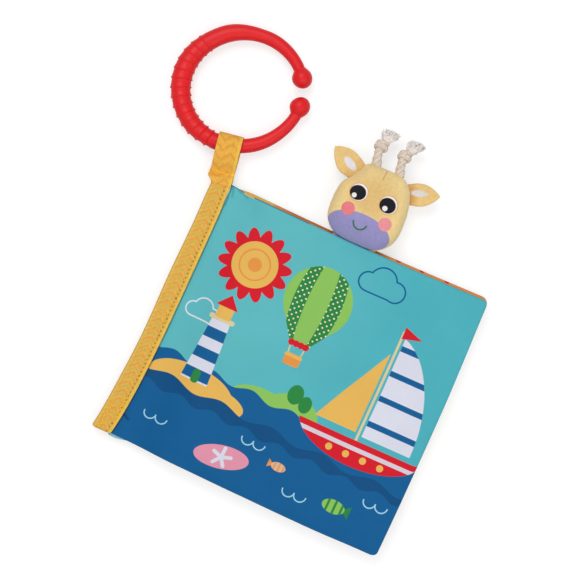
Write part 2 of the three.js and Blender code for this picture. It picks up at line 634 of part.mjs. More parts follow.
function ear(side) {
  const { along, across, root } = earFrame(side);
  const up = new THREE.Vector3(0, 0, 1);
  const rows = evenly(EAR_STEPS).slice(0, -1).map((step) => {
    const share = step ** EAR_STEP_POWER;
    const centre = root.clone().addScaledVector(along, EAR_LENGTH * share);
    const acrossAxis = across.clone().multiplyScalar(side * earHalfWidth(share));
    const upAxis = up.clone().multiplyScalar(earHalfThickness(share));
    return sectionRow(EAR_SIDES, centre, acrossAxis, upAxis, 2 / EAR_SQUARENESS);
  });
  const tip = root.clone().addScaledVector(along, EAR_LENGTH);
  return loft(rows, root, tip);
}

// Half thickness of a horn from its root to its tip: cord, knot, neck and frayed tuft.
function hornHalfWidth(share) {
  const knot = Math.exp(-(((share - HORN_KNOT_SHARE) / HORN_KNOT_SPAN_SHARE) ** 2));
  const tuft = easeInOut((share - HORN_TUFT_SHARE) / (1 - HORN_TUFT_SHARE));
  const cord = mix(HORN_CORD, HORN_NECK, easeInOut((share - HORN_KNOT_SHARE) / HORN_KNOT_SPAN_SHARE));
  return mix(mix(cord, HORN_TUFT, tuft), HORN_KNOT, knot);
}

// A short stub of three-strand cord, knotted once and frayed at the end.
function horn(side) {
  const x = HEAD_X + HORN_SHIFT + (side * HORN_SPREAD) / 2;
  const foot = HEAD_Y + HEAD_HEIGHT / 2 + SEAT_GAP;
  const rows = evenly(HORN_STEPS).map((share) => {
    const row = [];
    const half = hornHalfWidth(share);
    const lean = HORN_TIP_LEAN * easeInOut((share - HORN_KNOT_SHARE) / (1 - HORN_KNOT_SHARE));
    const bow = lean - HORN_BOW * Math.sin(Math.PI * share);
    for (let j = 0; j < HORN_SIDES; j += 1) {
      const angle = (2 * Math.PI * j) / HORN_SIDES;
      const groove = HORN_STRAND * Math.cos(HORN_STRANDS * (angle - 2 * Math.PI * HORN_TWIST * share));
      const reach = half + groove;
      row.push(new THREE.Vector3(
        x + bow + reach * Math.sin(angle),
        foot + HORN_LENGTH * share,
        HEAD_SEAM_Z + reach * Math.cos(angle),
      ));
    }
    return row;
  });
  const root = new THREE.Vector3(x, foot, HEAD_SEAM_Z);
  const tip = new THREE.Vector3(x + HORN_TIP_LEAN, foot + HORN_LENGTH, HEAD_SEAM_Z);
  return loft(rows, root, tip);
}

function headPieces() {
  return [
    piece('head_front_fabric', headSkin(1), MATERIALS.plush),
    piece('head_back_fabric', headSkin(-1), MATERIALS.plush),
    piece('head_filling', headFilling(), MATERIALS.wadding),
    piece('left_ear', ear(-1), MATERIALS.plush),
    piece('right_ear', ear(1), MATERIALS.plush),
    piece('left_horn_rope', horn(-1), MATERIALS.rope),
    piece('right_horn_rope', horn(1), MATERIALS.rope),
  ];
}

// The head hangs on a short ribbon that comes out between the front cover and the leaf under it.
function neckRibbon() {
  const start = COVER_TOP - SIDE_DRAW_IN - NECK_TUCK;
  const length = CHIN_Y - SEAT_GAP - start;
  const distance = HEAD_X - HINGE_X;
  const below = innerLeaf1.midZ + innerLeaf1.half(distance, start);
  const above = frontCover.midZ - frontCover.half(distance, start);
  const geometry = new THREE.BoxGeometry(NECK_WIDTH, length, NECK_RIBBON);
  return geometry.translate(HEAD_X, start + length / 2, (below + above) / 2);
}

const book = new THREE.Group();
book.name = 'crinkle_cloth_book';
book.add(
  ...spinePieces(),
  ...coverPieces('back_cover', backCover, -1),
  ...innerLeafPieces('inner_leaf_2', innerLeaf2, MATERIALS.skyPage, MATERIALS.creamPage),
  ...innerLeafPieces('inner_leaf_1', innerLeaf1, MATERIALS.orangePage, MATERIALS.skyPage),
  ...coverPieces('front_cover', frontCover, 1),
  piece('neck_ribbon', neckRibbon(), MATERIALS.tape),
  piece('hanging_loop', hangingLoop(), MATERIALS.tape),
  piece('teething_ring', teethingRing(), MATERIALS.ring),
  ...headPieces(),
);

export default book;
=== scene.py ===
import functools
import math

import bpy
import numpy as np
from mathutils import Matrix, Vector


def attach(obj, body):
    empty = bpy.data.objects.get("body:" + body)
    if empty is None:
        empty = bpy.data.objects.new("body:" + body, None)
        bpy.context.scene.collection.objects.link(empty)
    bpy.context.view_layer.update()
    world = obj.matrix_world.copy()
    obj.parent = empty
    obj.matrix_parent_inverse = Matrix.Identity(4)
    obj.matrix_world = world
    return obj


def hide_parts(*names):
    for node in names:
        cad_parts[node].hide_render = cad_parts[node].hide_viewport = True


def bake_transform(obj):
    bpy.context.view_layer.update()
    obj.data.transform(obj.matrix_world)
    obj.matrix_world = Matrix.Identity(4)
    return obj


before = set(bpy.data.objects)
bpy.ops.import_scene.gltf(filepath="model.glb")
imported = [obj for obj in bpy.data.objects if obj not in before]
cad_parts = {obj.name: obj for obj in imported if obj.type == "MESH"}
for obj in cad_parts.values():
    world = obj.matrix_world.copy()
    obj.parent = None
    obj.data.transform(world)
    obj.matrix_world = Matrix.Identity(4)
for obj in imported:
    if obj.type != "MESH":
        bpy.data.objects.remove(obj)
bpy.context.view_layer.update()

MM = 0.001


for spare in ("Cube", "Light", "Camera"):
    if spare in bpy.data.objects:
        bpy.data.objects.remove(bpy.data.objects[spare])

# Sizes of the book, in millimetres, as the model has them
LEAF_WIDTH = 156.0
SHORT_HEIGHT, TALL_HEIGHT = 152.0, 153.0
HALF_HEIGHT = SHORT_HEIGHT / 2
TALL_RISE = 1.2
HINGE_X = -78.0
CORNER_RADIUS = 3.2
SIDE_DRAW_IN = 1.2
SEAM_THICKNESS = 1.6
BOUND_THICKNESS = 1.1
LOWEST_BOUND_Z, BOUND_PITCH = 3.25, 1.4
PAGE_PAST_TOP, PAGE_PAST_FOOT = 1.15, 2.6
RIM_REACH = 16.0
SPINE_RAMP = 30.0
GRID_STEP = 2.4
COVER_THICKNESS, PAGE_THICKNESS = 4.0, 2.6
FOOT_BOW, FOOT_BOW_FADE = 5.0, 27.0
EDGE_SAG, CORNER_LIFT = 3.4, 1.3
TAPE = 0.8
TAPE_BOTTOM = 1.6
TAPE_TOP = 9.1
TAPE_MID = (TAPE_BOTTOM + TAPE_TOP) / 2
TAPE_HALF_HEIGHT = (TAPE_TOP - TAPE_BOTTOM) / 2
TAPE_TOP_Y = 79.2
TAPE_FOOT_Y = -76.6
KINK_Y = 79.5
TAPE_X = -83.8
LOOP_WIDTH = 13.7
LOOP_TAPE = 0.6
LOOP_NECK = 7.5
LEAN = math.radians(10)
STITCH_PITCH = 2.5
KINK_X = TAPE_X - 1.7
RING_CLEARANCE = 0.35
RING_BORE_LONG, RING_BORE_SHORT = 29.4, 27.3
RING_TURN = math.radians(32)
RING_THICK = 5.7
RING_TIP = 3.1
RING_FLATNESS = 0.84
BALL_RADIUS = 5.6
BALL_SPREAD = 0.6
BALL_EASE = 4.0
RIB_COUNT = 14
RIB_FIRST, RIB_LAST = 150.0, 263.0
RIB_HEIGHT = 0.45
MOUTH_HIGH, MOUTH_END = 35.0, 367.0
RIBBED_RIM = RING_BORE_LONG + 2 * RING_THICK + RIB_HEIGHT
RING_REACH = LOOP_NECK + RING_CLEARANCE + RIBBED_RIM
RING_X = KINK_X - RING_REACH * math.sin(LEAN)
RING_Y = KINK_Y + RING_REACH * math.cos(LEAN)
EYE_HALF_HEIGHT = RING_THICK * RING_FLATNESS + RIB_HEIGHT + RING_CLEARANCE
RING_Z = EYE_HALF_HEIGHT + LOOP_TAPE
HEAD_X, HEAD_Y = -3.4, 97.75
HEAD_WIDTH, HEAD_HEIGHT = 42.2, 43.9
HEAD_FRONT, HEAD_BACK = 14.0, 11.0
HEAD_SEAM_Z = 10.5
EAR_LENGTH = 15.0
EAR_HEIGHT_SHARE = 0.66
HORN_LENGTH = 20.5


def smooth_step(x):
    return (1 - np.cos(np.pi * np.clip(x, 0, 1))) / 2


def quarter_round(x):
    return np.sqrt(1 - (1 - np.clip(x, 0, 1)) ** 2)


def signed_power(x, power):
    return np.sign(x) * np.abs(x) ** power


def mix(a, b, share):
    return a + (b - a) * share


def bell(x):
    return np.exp(-(x ** 2))


def waves(seed, shortest, longest, count):
    """A smooth random surface from about -1 to 1, as a function of x and y in millimetres."""
    rng = np.random.default_rng(seed)
    turns = rng.uniform(0, math.tau, count)
    lengths = rng.uniform(shortest, longest, count)
    phases = rng.uniform(0, math.tau, count)

    def height(x, y):
        total = np.zeros(np.broadcast(x, y).shape)
        for turn, length, phase in zip(turns, lengths, phases):
            across = x * math.cos(turn) + y * math.sin(turn)
            total = total + np.sin(math.tau * across / length + phase)
        return total / math.sqrt(count) / 1.4

    return height


def colour(red, green, blue):
    """A colour given in the 0 to 255 values of a picture, as the linear values that shaders take."""
    linear = []
    for value in (red, green, blue):
        share = value / 255
        linear.append(share / 12.92 if share <= 0.04045 else ((share + 0.055) / 1.055) ** 2.4)
    return (*linear, 1.0)


# Meshes

def new_object(name, points, faces, flat=None, slots=None):
    """A mesh from points in millimetres. Each point keeps its place on the flat cloth as an attribute."""
    points = np.asarray(points, float)
    flat = points if flat is None else np.asarray(flat, float)
    mesh = bpy.data.meshes.new(name)
    mesh.from_pydata((points * MM).tolist(), [], [tuple(int(i) for i in face) for face in faces])
    mesh.update()
    stored = mesh.attributes.new("flat", "FLOAT_VECTOR", "POINT")
    stored.data.foreach_set("vector", flat.astype(np.float32).ravel())
    mesh.polygons.foreach_set("use_smooth", [True] * len(mesh.polygons))
    if slots is not None:
        mesh.polygons.foreach_set("material_index", slots)
    made = bpy.data.objects.new(name, mesh)
    bpy.context.scene.collection.objects.link(made)
    return made


def read_vectors(collection, key, count):
    values = np.empty(count * 3, np.float32)
    collection.foreach_get(key, values)
    return values.reshape(-1, 3)


def dress(piece, *materials):
    for material in materials:
        piece.data.materials.append(material)


def subdivide(piece):
    modifier = piece.modifiers.new("smooth", "SUBSURF")
    modifier.levels = modifier.render_levels = 1
    return piece


def grid_faces(rows, columns, start=0, closed=False, flip=False):
    """Faces over rows of points; closed joins the last column to the first."""
    faces = []
    for i in range(rows - 1):
        for j in range(columns if closed else columns - 1):
            k = (j + 1) % columns
            face = (i * columns + j, (i + 1) * columns + j, (i + 1) * columns + k, i * columns + k)
            face = tuple(start + index for index in face)
            faces.append(face[::-1] if flip else face)
    return faces


def tube(rows, first_pole=None, last_pole=None):
    """Points and faces of a skin over closed rows of points, with a pole or a flat cap at each end."""
    rows = np.asarray(rows, float)
    count, sides, _ = rows.shape
    points = rows.reshape(-1, 3).tolist()
    faces = grid_faces(count, sides, closed=True)
    end = (count - 1) * sides
    first_pole = rows[0].mean(axis=0) if first_pole is None else first_pole
    last_pole = rows[-1].mean(axis=0) if last_pole is None else last_pole
    points += [list(first_pole), list(last_pole)]
    for j in range(sides):
        k = (j + 1) % sides
        faces.append((len(points) - 2, j, k))
        faces.append((len(points) - 1, end + k, end + j))
    return points, faces


def frames_along(line):
    """Tangents and two turning-free side axes along a line of points."""
    line = np.asarray(line, float)
    tangents = np.gradient(line, axis=0)
    tangents /= np.linalg.norm(tangents, axis=1)[:, None]
    start = np.array([0.0, 0.0, 1.0])
    if abs(tangents[0] @ start) > 0.9:
        start = np.array([1.0, 0.0, 0.0])
    side = start - tangents[0] * (tangents[0] @ start)
    sides = []
    for tangent in tangents:
        side = side - tangent * (tangent @ side)
        side = side / np.linalg.norm(side)
        sides.append(side)
    sides = np.array(sides)
    return tangents, sides, np.cross(tangents, sides)


def thread_rows(line, radius, sides):
    """Rings of points round a line; radius is a number or one for each point."""
    line = np.asarray(line, float)
    radius = np.broadcast_to(radius, (len(line),))
    _, first, second = frames_along(line)
    angles = np.linspace(0, math.tau, sides, endpoint=False)[None, :, None]
    ring = first[:, None, :] * np.cos(angles) + second[:, None, :] * np.sin(angles)
    return line[:, None, :] + ring * radius[:, None, None]


def evened(values, edges, rounds):
    """Values of points, each moved half way to the mean of its neighbours' as often as told."""
    count = len(values)
    neighbours = np.bincount(edges.ravel(), minlength=count)
    for _ in range(rounds):
        total = np.bincount(edges[:, 0], values[edges[:, 1]], count)
        total += np.bincount(edges[:, 1], values[edges[:, 0]], count)
        values = (values + total / neighbours) / 2
    return values


class Bundle:
    """Several closed skins collected into one piece."""

    def __init__(self):
        self.points, self.faces = [], []

    def thread(self, line, radius, sides):
        points, faces = tube(thread_rows(line, radius, sides))
        start = len(self.points)
        self.points += points
        self.faces += [tuple(start + index for index in face) for face in faces]

    def piece(self, name):
        return new_object(name, self.points, self.faces)


# Materials

def ranged(tree, value, low, high, start=0.0, stop=1.0):
    """A value taken from the range start to stop to the range low to high."""
    ramp = tree.nodes.new("ShaderNodeMapRange")
    limits = {"From Min": start, "From Max": stop, "To Min": low, "To Max": high}
    for name, limit in limits.items():
        ramp.inputs[name].default_value = limit
    tree.links.new(value, ramp.inputs["Value"])
    return ramp.outputs["Result"]


def seen_directly(tree):
    """1 for what the camera and reflections see, 0 for the light that reaches the object."""
    path = tree.nodes.new("ShaderNodeLightPath")
    seen = tree.nodes.new("ShaderNodeMath")
    seen.operation = "MAXIMUM"
    tree.links.new(path.outputs["Is Camera Ray"], seen.inputs[0])
    tree.links.new(path.outputs["Is Glossy Ray"], seen.inputs[1])
    return seen.outputs[0]


class Paint:
    """A material painted shape over shape, in millimetres on the flat cloth."""

    def __init__(self, name, base, roughness=0.8, sheen=0.0, edge=0.14, gloss=0.15):
        self.material = bpy.data.materials.new(name)
        self.material.use_nodes = True
        self.tree = self.material.node_tree
        self.shader = self.tree.nodes["Principled BSDF"]
        self.shader.inputs["Roughness"].default_value = roughness
        self.shader.inputs["Sheen Weight"].default_value = sheen
        self.shader.inputs["Sheen Roughness"].default_value = 0.5
        self.shader.inputs["Specular IOR Level"].default_value = gloss
        self.edge = edge
        self.full_flat = self.add("ShaderNodeAttribute", attribute_name="flat").outputs["Vector"]
        self.flat = self.vector("MULTIPLY", self.full_flat, (1, 1, 0))
        self.colour = base

    def add(self, kind, **settings):
        node = self.tree.nodes.new(kind)
        for key, value in settings.items():
            setattr(node, key, value)
        return node

    def plug(self, value, socket):
        if isinstance(value, bpy.types.NodeSocket):
            self.tree.links.new(value, socket)
        else:
            socket.default_value = value

    def math(self, operation, *values, clamp=False):
        node = self.add("ShaderNodeMath", operation=operation, use_clamp=clamp)
        for value, socket in zip(values, node.inputs):
            self.plug(value, socket)
        return node.outputs[0]

    def vector(self, operation, *values):
        node = self.add("ShaderNodeVectorMath", operation=operation)
        for value, socket in zip(values, node.inputs):
            self.plug(value, socket)
        return node.outputs["Value" if operation in ("LENGTH", "DOT_PRODUCT") else "Vector"]

    def blend(self, factor, a, b, kind="MIX"):
        node = self.add("ShaderNodeMix", data_type="RGBA", blend_type=kind)
        self.plug(factor, node.inputs[0])
        self.plug(a, node.inputs[6])
        self.plug(b, node.inputs[7])
        return node.outputs[2]

    def local(self, x, y, turn=0.0, sx=1.0, sy=1.0):
        """The flat cloth's coordinates about a centre, turned by degrees and divided by a size."""
        node = self.add("ShaderNodeMapping", vector_type="TEXTURE")
        self.plug(self.flat, node.inputs["Vector"])
        node.inputs["Location"].default_value = (x, y, 0)
        node.inputs["Rotation"].default_value = (0, 0, math.radians(turn))
        node.inputs["Scale"].default_value = (sx, sy, 1)
        return node.outputs["Vector"]

    def split(self, vector):
        node = self.add("ShaderNodeSeparateXYZ")
        self.plug(vector, node.inputs[0])
        return node.outputs

    # Distances: below zero inside a shape, in millimetres

    def ellipse(self, x, y, rx, ry=None, turn=0.0):
        ry = rx if ry is None else ry
        length = self.vector("LENGTH", self.local(x, y, turn, rx, ry))
        small = min(rx, ry)
        return self.math("MULTIPLY_ADD", length, small, -small)

    def box(self, x, y, hx, hy, r=0.0, turn=0.0):
        corner = self.vector("ABSOLUTE", self.local(x, y, turn))
        over = self.vector("MAXIMUM", self.vector("SUBTRACT", corner, (hx - r, hy - r, 1)), (0, 0, 0))
        return self.math("SUBTRACT", self.vector("LENGTH", over), r + 0.05)

    def line(self, x0, y0, x1, y1, width):
        half = math.hypot(x1 - x0, y1 - y0) / 2 + width / 2
        turn = math.degrees(math.atan2(y1 - y0, x1 - x0))
        return self.box((x0 + x1) / 2, (y0 + y1) / 2, half, width / 2, width / 2, turn)

    def side_of(self, x0, y0, x1, y1):
        """Distance outside the line from the first point to the second, whose left side is inside."""
        length = math.hypot(x1 - x0, y1 - y0)
        nx, ny = (y1 - y0) / length, -(x1 - x0) / length
        return self.math("ADD", self.vector("DOT_PRODUCT", self.flat, (nx, ny, 0)), -(nx * x0 + ny * y0))

    def polygon(self, *corners):
        """A convex shape from its corners, listed anticlockwise."""
        sides = [self.side_of(*a, *b) for a, b in zip(corners, corners[1:] + corners[:1])]
        return self.all_of(*sides)

    def flower(self, x, y, radius, swell, petals):
        where = self.local(x, y)
        parts = self.split(where)
        angle = self.math("ARCTAN2", parts[1], parts[0])
        lobe = self.math("ABSOLUTE", self.math("SINE", self.math("MULTIPLY", angle, petals / 2)))
        reach = self.math("MULTIPLY_ADD", lobe, -swell, -radius)
        return self.math("ADD", self.vector("LENGTH", where), reach)

    def below_wave(self, y, height, length, phase=0.0, slope=0.0):
        parts = self.split(self.flat)
        turn = self.math("MULTIPLY_ADD", parts[0], math.tau / length, phase)
        crest = self.math("MULTIPLY_ADD", self.math("SINE", turn), -height, -y)
        tilt = self.math("MULTIPLY_ADD", parts[0], -slope, crest)
        return self.math("ADD", parts[1], tilt)

    def dots(self, pitch, radius, turn, x=0.0, y=0.0):
        wrapped = self.add("ShaderNodeVectorMath", operation="WRAP")
        self.plug(self.local(x, y, turn), wrapped.inputs[0])
        wrapped.inputs[1].default_value = (pitch / 2, pitch / 2, 1)
        wrapped.inputs[2].default_value = (-pitch / 2, -pitch / 2, -1)
        return self.math("SUBTRACT", self.vector("LENGTH", wrapped.outputs["Vector"]), radius)

    def bands(self, x, y, turn, pitch, width):
        """Stripes across the direction of turn."""
        along = self.split(self.local(x, y, turn))[0]
        wrapped = self.math("WRAP", along, pitch / 2, -pitch / 2)
        return self.math("SUBTRACT", self.math("ABSOLUTE", wrapped), width / 2)

    def any_of(self, *distances):
        return functools.reduce(lambda a, b: self.math("MINIMUM", a, b), distances)

    def all_of(self, *distances):
        return functools.reduce(lambda a, b: self.math("MAXIMUM", a, b), distances)

    def without(self, distance, cut):
        return self.math("MAXIMUM", distance, self.math("MULTIPLY", cut, -1.0))

    def outline(self, distance, width):
        return self.math("SUBTRACT", self.math("ABSOLUTE", distance), width / 2)

    def fill(self, distance, paint, edge=None, strength=1.0):
        soft = self.edge if edge is None else edge
        inside = self.math("MULTIPLY_ADD", distance, -1 / soft, 0.5, clamp=True)
        if strength < 1:
            inside = self.math("MULTIPLY", inside, strength)
        self.colour = self.blend(inside, self.colour, paint)

    # Finish

    def noise(self, scale, detail=3.0):
        node = self.add("ShaderNodeTexNoise")
        self.plug(self.full_flat, node.inputs["Vector"])
        node.inputs["Scale"].default_value = 1 / scale
        node.inputs["Detail"].default_value = detail
        return node.outputs["Fac"]

    def vary(self, scale, low, high, detail=3.0):
        """Uneven colour: darker and lighter patches of a size."""
        level = ranged(self.tree, self.noise(scale, detail), low, high, 0.3, 0.7)
        grey = self.add("ShaderNodeCombineColor")
        for socket in grey.inputs[:3]:
            self.plug(level, socket)
        self.colour = self.blend(1.0, self.colour, grey.outputs[0], "MULTIPLY")

    def weave(self, pitch):
        parts = self.split(self.local(0, 0))
        warp = self.math("SINE", self.math("MULTIPLY", parts[0], math.tau / pitch))
        weft = self.math("SINE", self.math("MULTIPLY", parts[1], math.tau / pitch))
        return self.math("MULTIPLY", warp, weft)

    def bump(self, height, distance, strength):
        node = self.add("ShaderNodeBump")
        node.inputs["Strength"].default_value = strength
        node.inputs["Distance"].default_value = distance * MM
        self.plug(height, node.inputs["Height"])
        if self.shader.inputs["Normal"].is_linked:
            self.plug(self.shader.inputs["Normal"].links[0].from_socket, node.inputs["Normal"])
        self.plug(node.outputs["Normal"], self.shader.inputs["Normal"])

    def rough(self, scale, low, high):
        self.plug(ranged(self.tree, self.noise(scale), low, high), self.shader.inputs["Roughness"])

    def done(self):
        self.plug(self.colour, self.shader.inputs["Base Color"])
        return self.material


TEAL = colour(76, 178, 190)
SHEEN_TEAL = colour(98, 188, 194)
BLUE = colour(4, 92, 148)
DEEP_BLUE = colour(0, 76, 128)
SNOW = colour(220, 222, 236)
RED = colour(214, 22, 40)
GOLD = colour(233, 184, 90)
ORANGE = colour(232, 150, 70)
LEAF_GREEN = colour(140, 196, 92)
GREEN = colour(40, 132, 62)
PINK = colour(230, 150, 172)
PEACH = colour(226, 184, 152)
BEIGE = colour(222, 206, 158)
CREAM = colour(243, 232, 205)
SKY = colour(160, 212, 234)
WHITE = colour(244, 243, 240)


def cloth_finish(paint):
    """The satin polyester of the leaves: a fine weave, faint crinkles and uneven colour."""
    paint.vary(34, 0.965, 1.03)
    paint.rough(9, 0.52, 0.68)
    paint.bump(paint.noise(7, 2.0), 0.16, 0.5)
    paint.bump(paint.weave(0.42), 0.02, 0.5)
    return paint.done()


def printed_cloth(name, base):
    return Paint(name, base, roughness=0.6, sheen=0.04)


def paint_sun(p, x, y, radius):
    p.fill(p.flower(x, y, radius * 1.18, radius * 0.42, 14), RED)
    p.fill(p.ellipse(x, y, radius), GOLD)
    p.fill(p.outline(p.ellipse(x, y, radius * 0.66), 0.9), ORANGE)
    p.fill(p.ellipse(x, y, radius * 0.3), ORANGE)


def paint_balloon(p, x, y):
    hull = p.any_of(
        p.ellipse(x, y, 19, 20),
        p.polygon((x - 15.5, y - 11), (x - 5, y - 27), (x + 5, y - 27), (x + 15.5, y - 11)),
    )
    p.fill(p.line(x - 4.4, y - 26, x - 3.6, y - 33, 0.6), BEIGE)
    p.fill(p.line(x + 4.4, y - 26, x + 3.6, y - 33, 0.6), BEIGE)
    p.fill(hull, LEAF_GREEN)
    gores = p.without(p.ellipse(x, y - 1, 13.5, 32), p.ellipse(x, y - 1, 6, 32))
    gores = p.all_of(gores, hull)
    p.fill(gores, GREEN)
    p.fill(p.all_of(gores, p.dots(2.6, 0.5, 45)), CREAM)
    hem = [p.ellipse(x - 4.2 + 2.8 * i, y - 26.4, 1.9) for i in range(4)]
    p.fill(p.any_of(*hem), RED)
    p.fill(p.box(x, y - 35.6, 4.6, 3.4, 1.4), ORANGE)
    p.fill(p.box(x, y - 33.4, 5.0, 0.9, 0.8), GOLD)


def paint_boat(p, x, y):
    p.fill(p.line(x, y - 4, x, y + 66, 1.3), BEIGE)
    leech = p.ellipse(x - 5, y + 4, 35, 60)
    main = p.all_of(leech, p.side_of(x + 2, y + 66, x + 2, y), p.side_of(x, y + 4, x + 50, y + 4))
    p.fill(main, SNOW)
    p.fill(p.all_of(main, p.bands(x, y + 12, 90, 15, 3.2)), BLUE)
    jib = p.polygon((x - 26, y + 5), (x - 2, y + 5), (x - 2, y + 52))
    p.fill(jib, GOLD)
    p.fill(p.polygon((x, y + 62), (x + 11, y + 65), (x, y + 69)), RED)
    hull = p.all_of(p.ellipse(x + 2, y + 4, 36, 17), p.below_wave(y + 1, 0.0, 100))
    p.fill(hull, RED)
    p.fill(p.all_of(hull, p.box(x + 2, y - 3.4, 40, 1.1)), SNOW)
    p.fill(p.any_of(*[p.ellipse(x - 12 + 10 * i, y - 7.6, 1.9) for i in range(4)]), GOLD)


def paint_lighthouse(p, x, y):
    p.fill(p.any_of(p.ellipse(x - 1, y - 3, 25, 11), p.ellipse(x + 15, y - 5, 17, 7)), GOLD)
    tower = p.polygon((x - 8, y), (x + 8, y), (x + 5.4, y + 36), (x - 5.4, y + 36))
    p.fill(tower, SNOW)
    p.fill(p.all_of(tower, p.bands(x, y + 4, 90, 12, 6)), BLUE)
    p.fill(p.box(x, y + 37, 7.4, 1.3, 1), BEIGE)
    p.fill(p.box(x, y + 41, 4.4, 3.6, 0.5), GOLD)
    p.fill(p.polygon((x - 6.4, y + 44), (x + 6.4, y + 44), (x, y + 51.5)), RED)
    p.fill(p.box(x, y + 3, 2.2, 3.8, 2), GREEN)


def paint_cloud(p, x, y, size, paint, width=None):
    cloud = p.any_of(
        p.ellipse(x - size, y, size * 0.72),
        p.ellipse(x, y + size * 0.45, size),
        p.ellipse(x + size * 1.1, y, size * 0.78),
        p.box(x, y - size * 0.38, size * 1.2, size * 0.34, size * 0.3),
    )
    p.fill(p.outline(cloud, width) if width else cloud, paint)


def paint_crests(p, places, paint):
    """Small waves drawn as pairs of thin arcs."""
    size = 3.4
    arcs = []
    for x, y in places:
        for shift in (-size, size):
            ring = p.outline(p.ellipse(x + shift, y, size), 0.7)
            arcs.append(p.all_of(ring, p.side_of(x + 50, y + 0.2, x - 50, y + 0.2)))
    p.fill(p.any_of(*arcs), paint)


def paint_starfish(p, x, y, size, paint):
    arms = []
    for i in range(5):
        turn = math.radians(18 + 72 * i)
        arms.append(p.line(x, y, x + size * math.cos(turn), y + size * math.sin(turn), size * 0.36))
    p.fill(p.any_of(*arms), paint)


def paint_fish(p, x, y, size, body, tail, way=1):
    root, end, half = x - way * size * 0.7, x - way * size * 1.45, size * 0.55
    p.fill(p.polygon(*sorted_corners([(root, y), (end, y + half), (end, y - half)])), tail)
    fish = p.ellipse(x, y, size, size * 0.58)
    p.fill(fish, body)
    p.fill(p.all_of(fish, p.bands(x + size * 0.1, y, 0, size * 0.62, size * 0.2)), tail)


def sorted_corners(corners):
    cx = sum(c[0] for c in corners) / len(corners)
    cy = sum(c[1] for c in corners) / len(corners)
    return sorted(corners, key=lambda c: math.atan2(c[1] - cy, c[0] - cx))


def cover_print():
    p = printed_cloth("cover_seaside_print_and_painted_light", TEAL)
    # Painted sheen: a paler teal over the upper left, where the satin catches the light.
    p.fill(p.ellipse(-60, 40, 70, 90), SHEEN_TEAL, edge=60, strength=0.8)
    paint_cloud(p, 20, 60, 7.5, BLUE, 0.9)
    paint_cloud(p, -64, 6, 5.5, SNOW, 0.8)
    paint_sun(p, -48, 42, 13)
    paint_balloon(p, -8, 38)
    p.fill(p.any_of(p.ellipse(4, -24, 15, 10), p.ellipse(-14, -27, 18, 9)), LEAF_GREEN)
    p.fill(p.any_of(p.ellipse(2, -14, 4.4, 5.4), p.ellipse(9, -17, 3.6, 4.6)), GREEN)
    p.fill(p.below_wave(-24, 1.6, 24, 0.6, -0.05), BLUE)
    paint_lighthouse(p, -52, -30)
    p.fill(p.below_wave(-37, 1.7, 31, 2.0, -0.05), DEEP_BLUE)
    paint_boat(p, 42, -24)
    p.fill(p.below_wave(-43, 1.5, 20, 0.0, -0.03), BLUE)
    paint_crests(p, [(-62, -56), (-8, -46), (24, -62), (66, -50)], SKY)
    p.fill(p.ellipse(-20, -61, 15, 6.5, 12), PINK)
    paint_starfish(p, -20, -61, 5.2, SNOW)
    paint_fish(p, 46, -60, 6.4, LEAF_GREEN, GREEN, -1)
    paint_fish(p, 10, -53, 4.2, PEACH, ORANGE)
    # Painted shadow: a dark line on the cloth along the tape's edge.
    p.fill(p.box(-77.9, 0, 0.7, 80), colour(4, 30, 48), edge=0.7, strength=0.8)
    # Painted shade in the crease by the tape near the foot.
    p.fill(p.line(-78, -63.1, -74.0, -65.0, 0.9), colour(2, 26, 62), edge=1.2, strength=0.75)
    # Painted shade in the small folds by the spine near the top corner.
    folds = p.any_of(
        p.line(-76.4, 74.6, -75.4, 70.4, 0.5),
        p.line(-77.2, 69.5, -76.7, 65, 0.4),
        p.line(-73.2, 75, -67, 74.0, 0.4),
    )
    p.fill(folds, colour(30, 120, 140), edge=1.3, strength=0.6)
    # A darker blue band along the top edge: painted seam shade, with the darker cloth where the edge turns
    # down.
    p.fill(p.box(-56, 76.4, 26, 1.0), DEEP_BLUE, strength=0.7)
    p.fill(p.box(-66.8, 76.4, 3.2, 1.3), GOLD)
    return cloth_finish(p)


def back_print():
    p = printed_cloth("back_cover_print", TEAL)
    paint_cloud(p, -34, 34, 15, SNOW)
    paint_cloud(p, 38, 50, 9, SKY, 0.9)
    p.fill(p.below_wave(-20, 3, 46, 0.4), LEAF_GREEN)
    p.fill(p.below_wave(-34, 3, 38, 2.0), GREEN)
    p.fill(p.below_wave(-48, 2, 26, 1.0), BLUE)
    paint_crests(p, [(-50, -62), (-6, -60), (40, -64)], SKY)
    return cloth_finish(p)


def page_print(name, base, marks, hill, dot, blob):
    """A plain page: dots over a ground, a hill along its foot and one large round motif."""
    p = printed_cloth(name, base)
    p.fill(p.dots(17, 2.1, 45, 3, 5), dot)
    p.fill(p.below_wave(-38, 4, 90, 0.8), hill)
    x, y, radius, petals = blob
    p.fill(p.flower(x, y, radius, radius * 1.4 / petals, petals), marks)
    p.fill(p.ellipse(x, y, radius * 0.62), base)
    return cloth_finish(p)


def orange_print(name):
    p = printed_cloth(name, ORANGE)
    p.fill(p.ellipse(-64, 78, 12, 14), GOLD, edge=1.0)
    # Painted shadow of the head: a darker orange-brown on the top strip beside and under it.
    p.fill(p.ellipse(-26, 84, 24, 16), colour(196, 116, 54), edge=8.0)
    p.fill(p.ellipse(44, 84, 36, 16), colour(226, 146, 74), edge=8.0)
    p.fill(p.any_of(*[p.ellipse(x, 76.8, 1.7, 1.5) for x in (23.4, 37.6, 52.6)]), RED)
    p.fill(p.all_of(p.dots(16, 2.3, 45, 4, 3), p.ellipse(0, -10, 90, 66)), RED)
    p.fill(p.below_wave(-40, 4, 80, 0.4), LEAF_GREEN)
    p.fill(p.ellipse(-72, -80, 20, 9), SKY)
    p.fill(p.flower(20, 4, 26, 5, 12), CREAM)
    p.fill(p.ellipse(20, 4, 15), TEAL)
    return cloth_finish(p)


ZIGZAG_HALF = 4.9
ZIGZAG_PITCH = 5.5


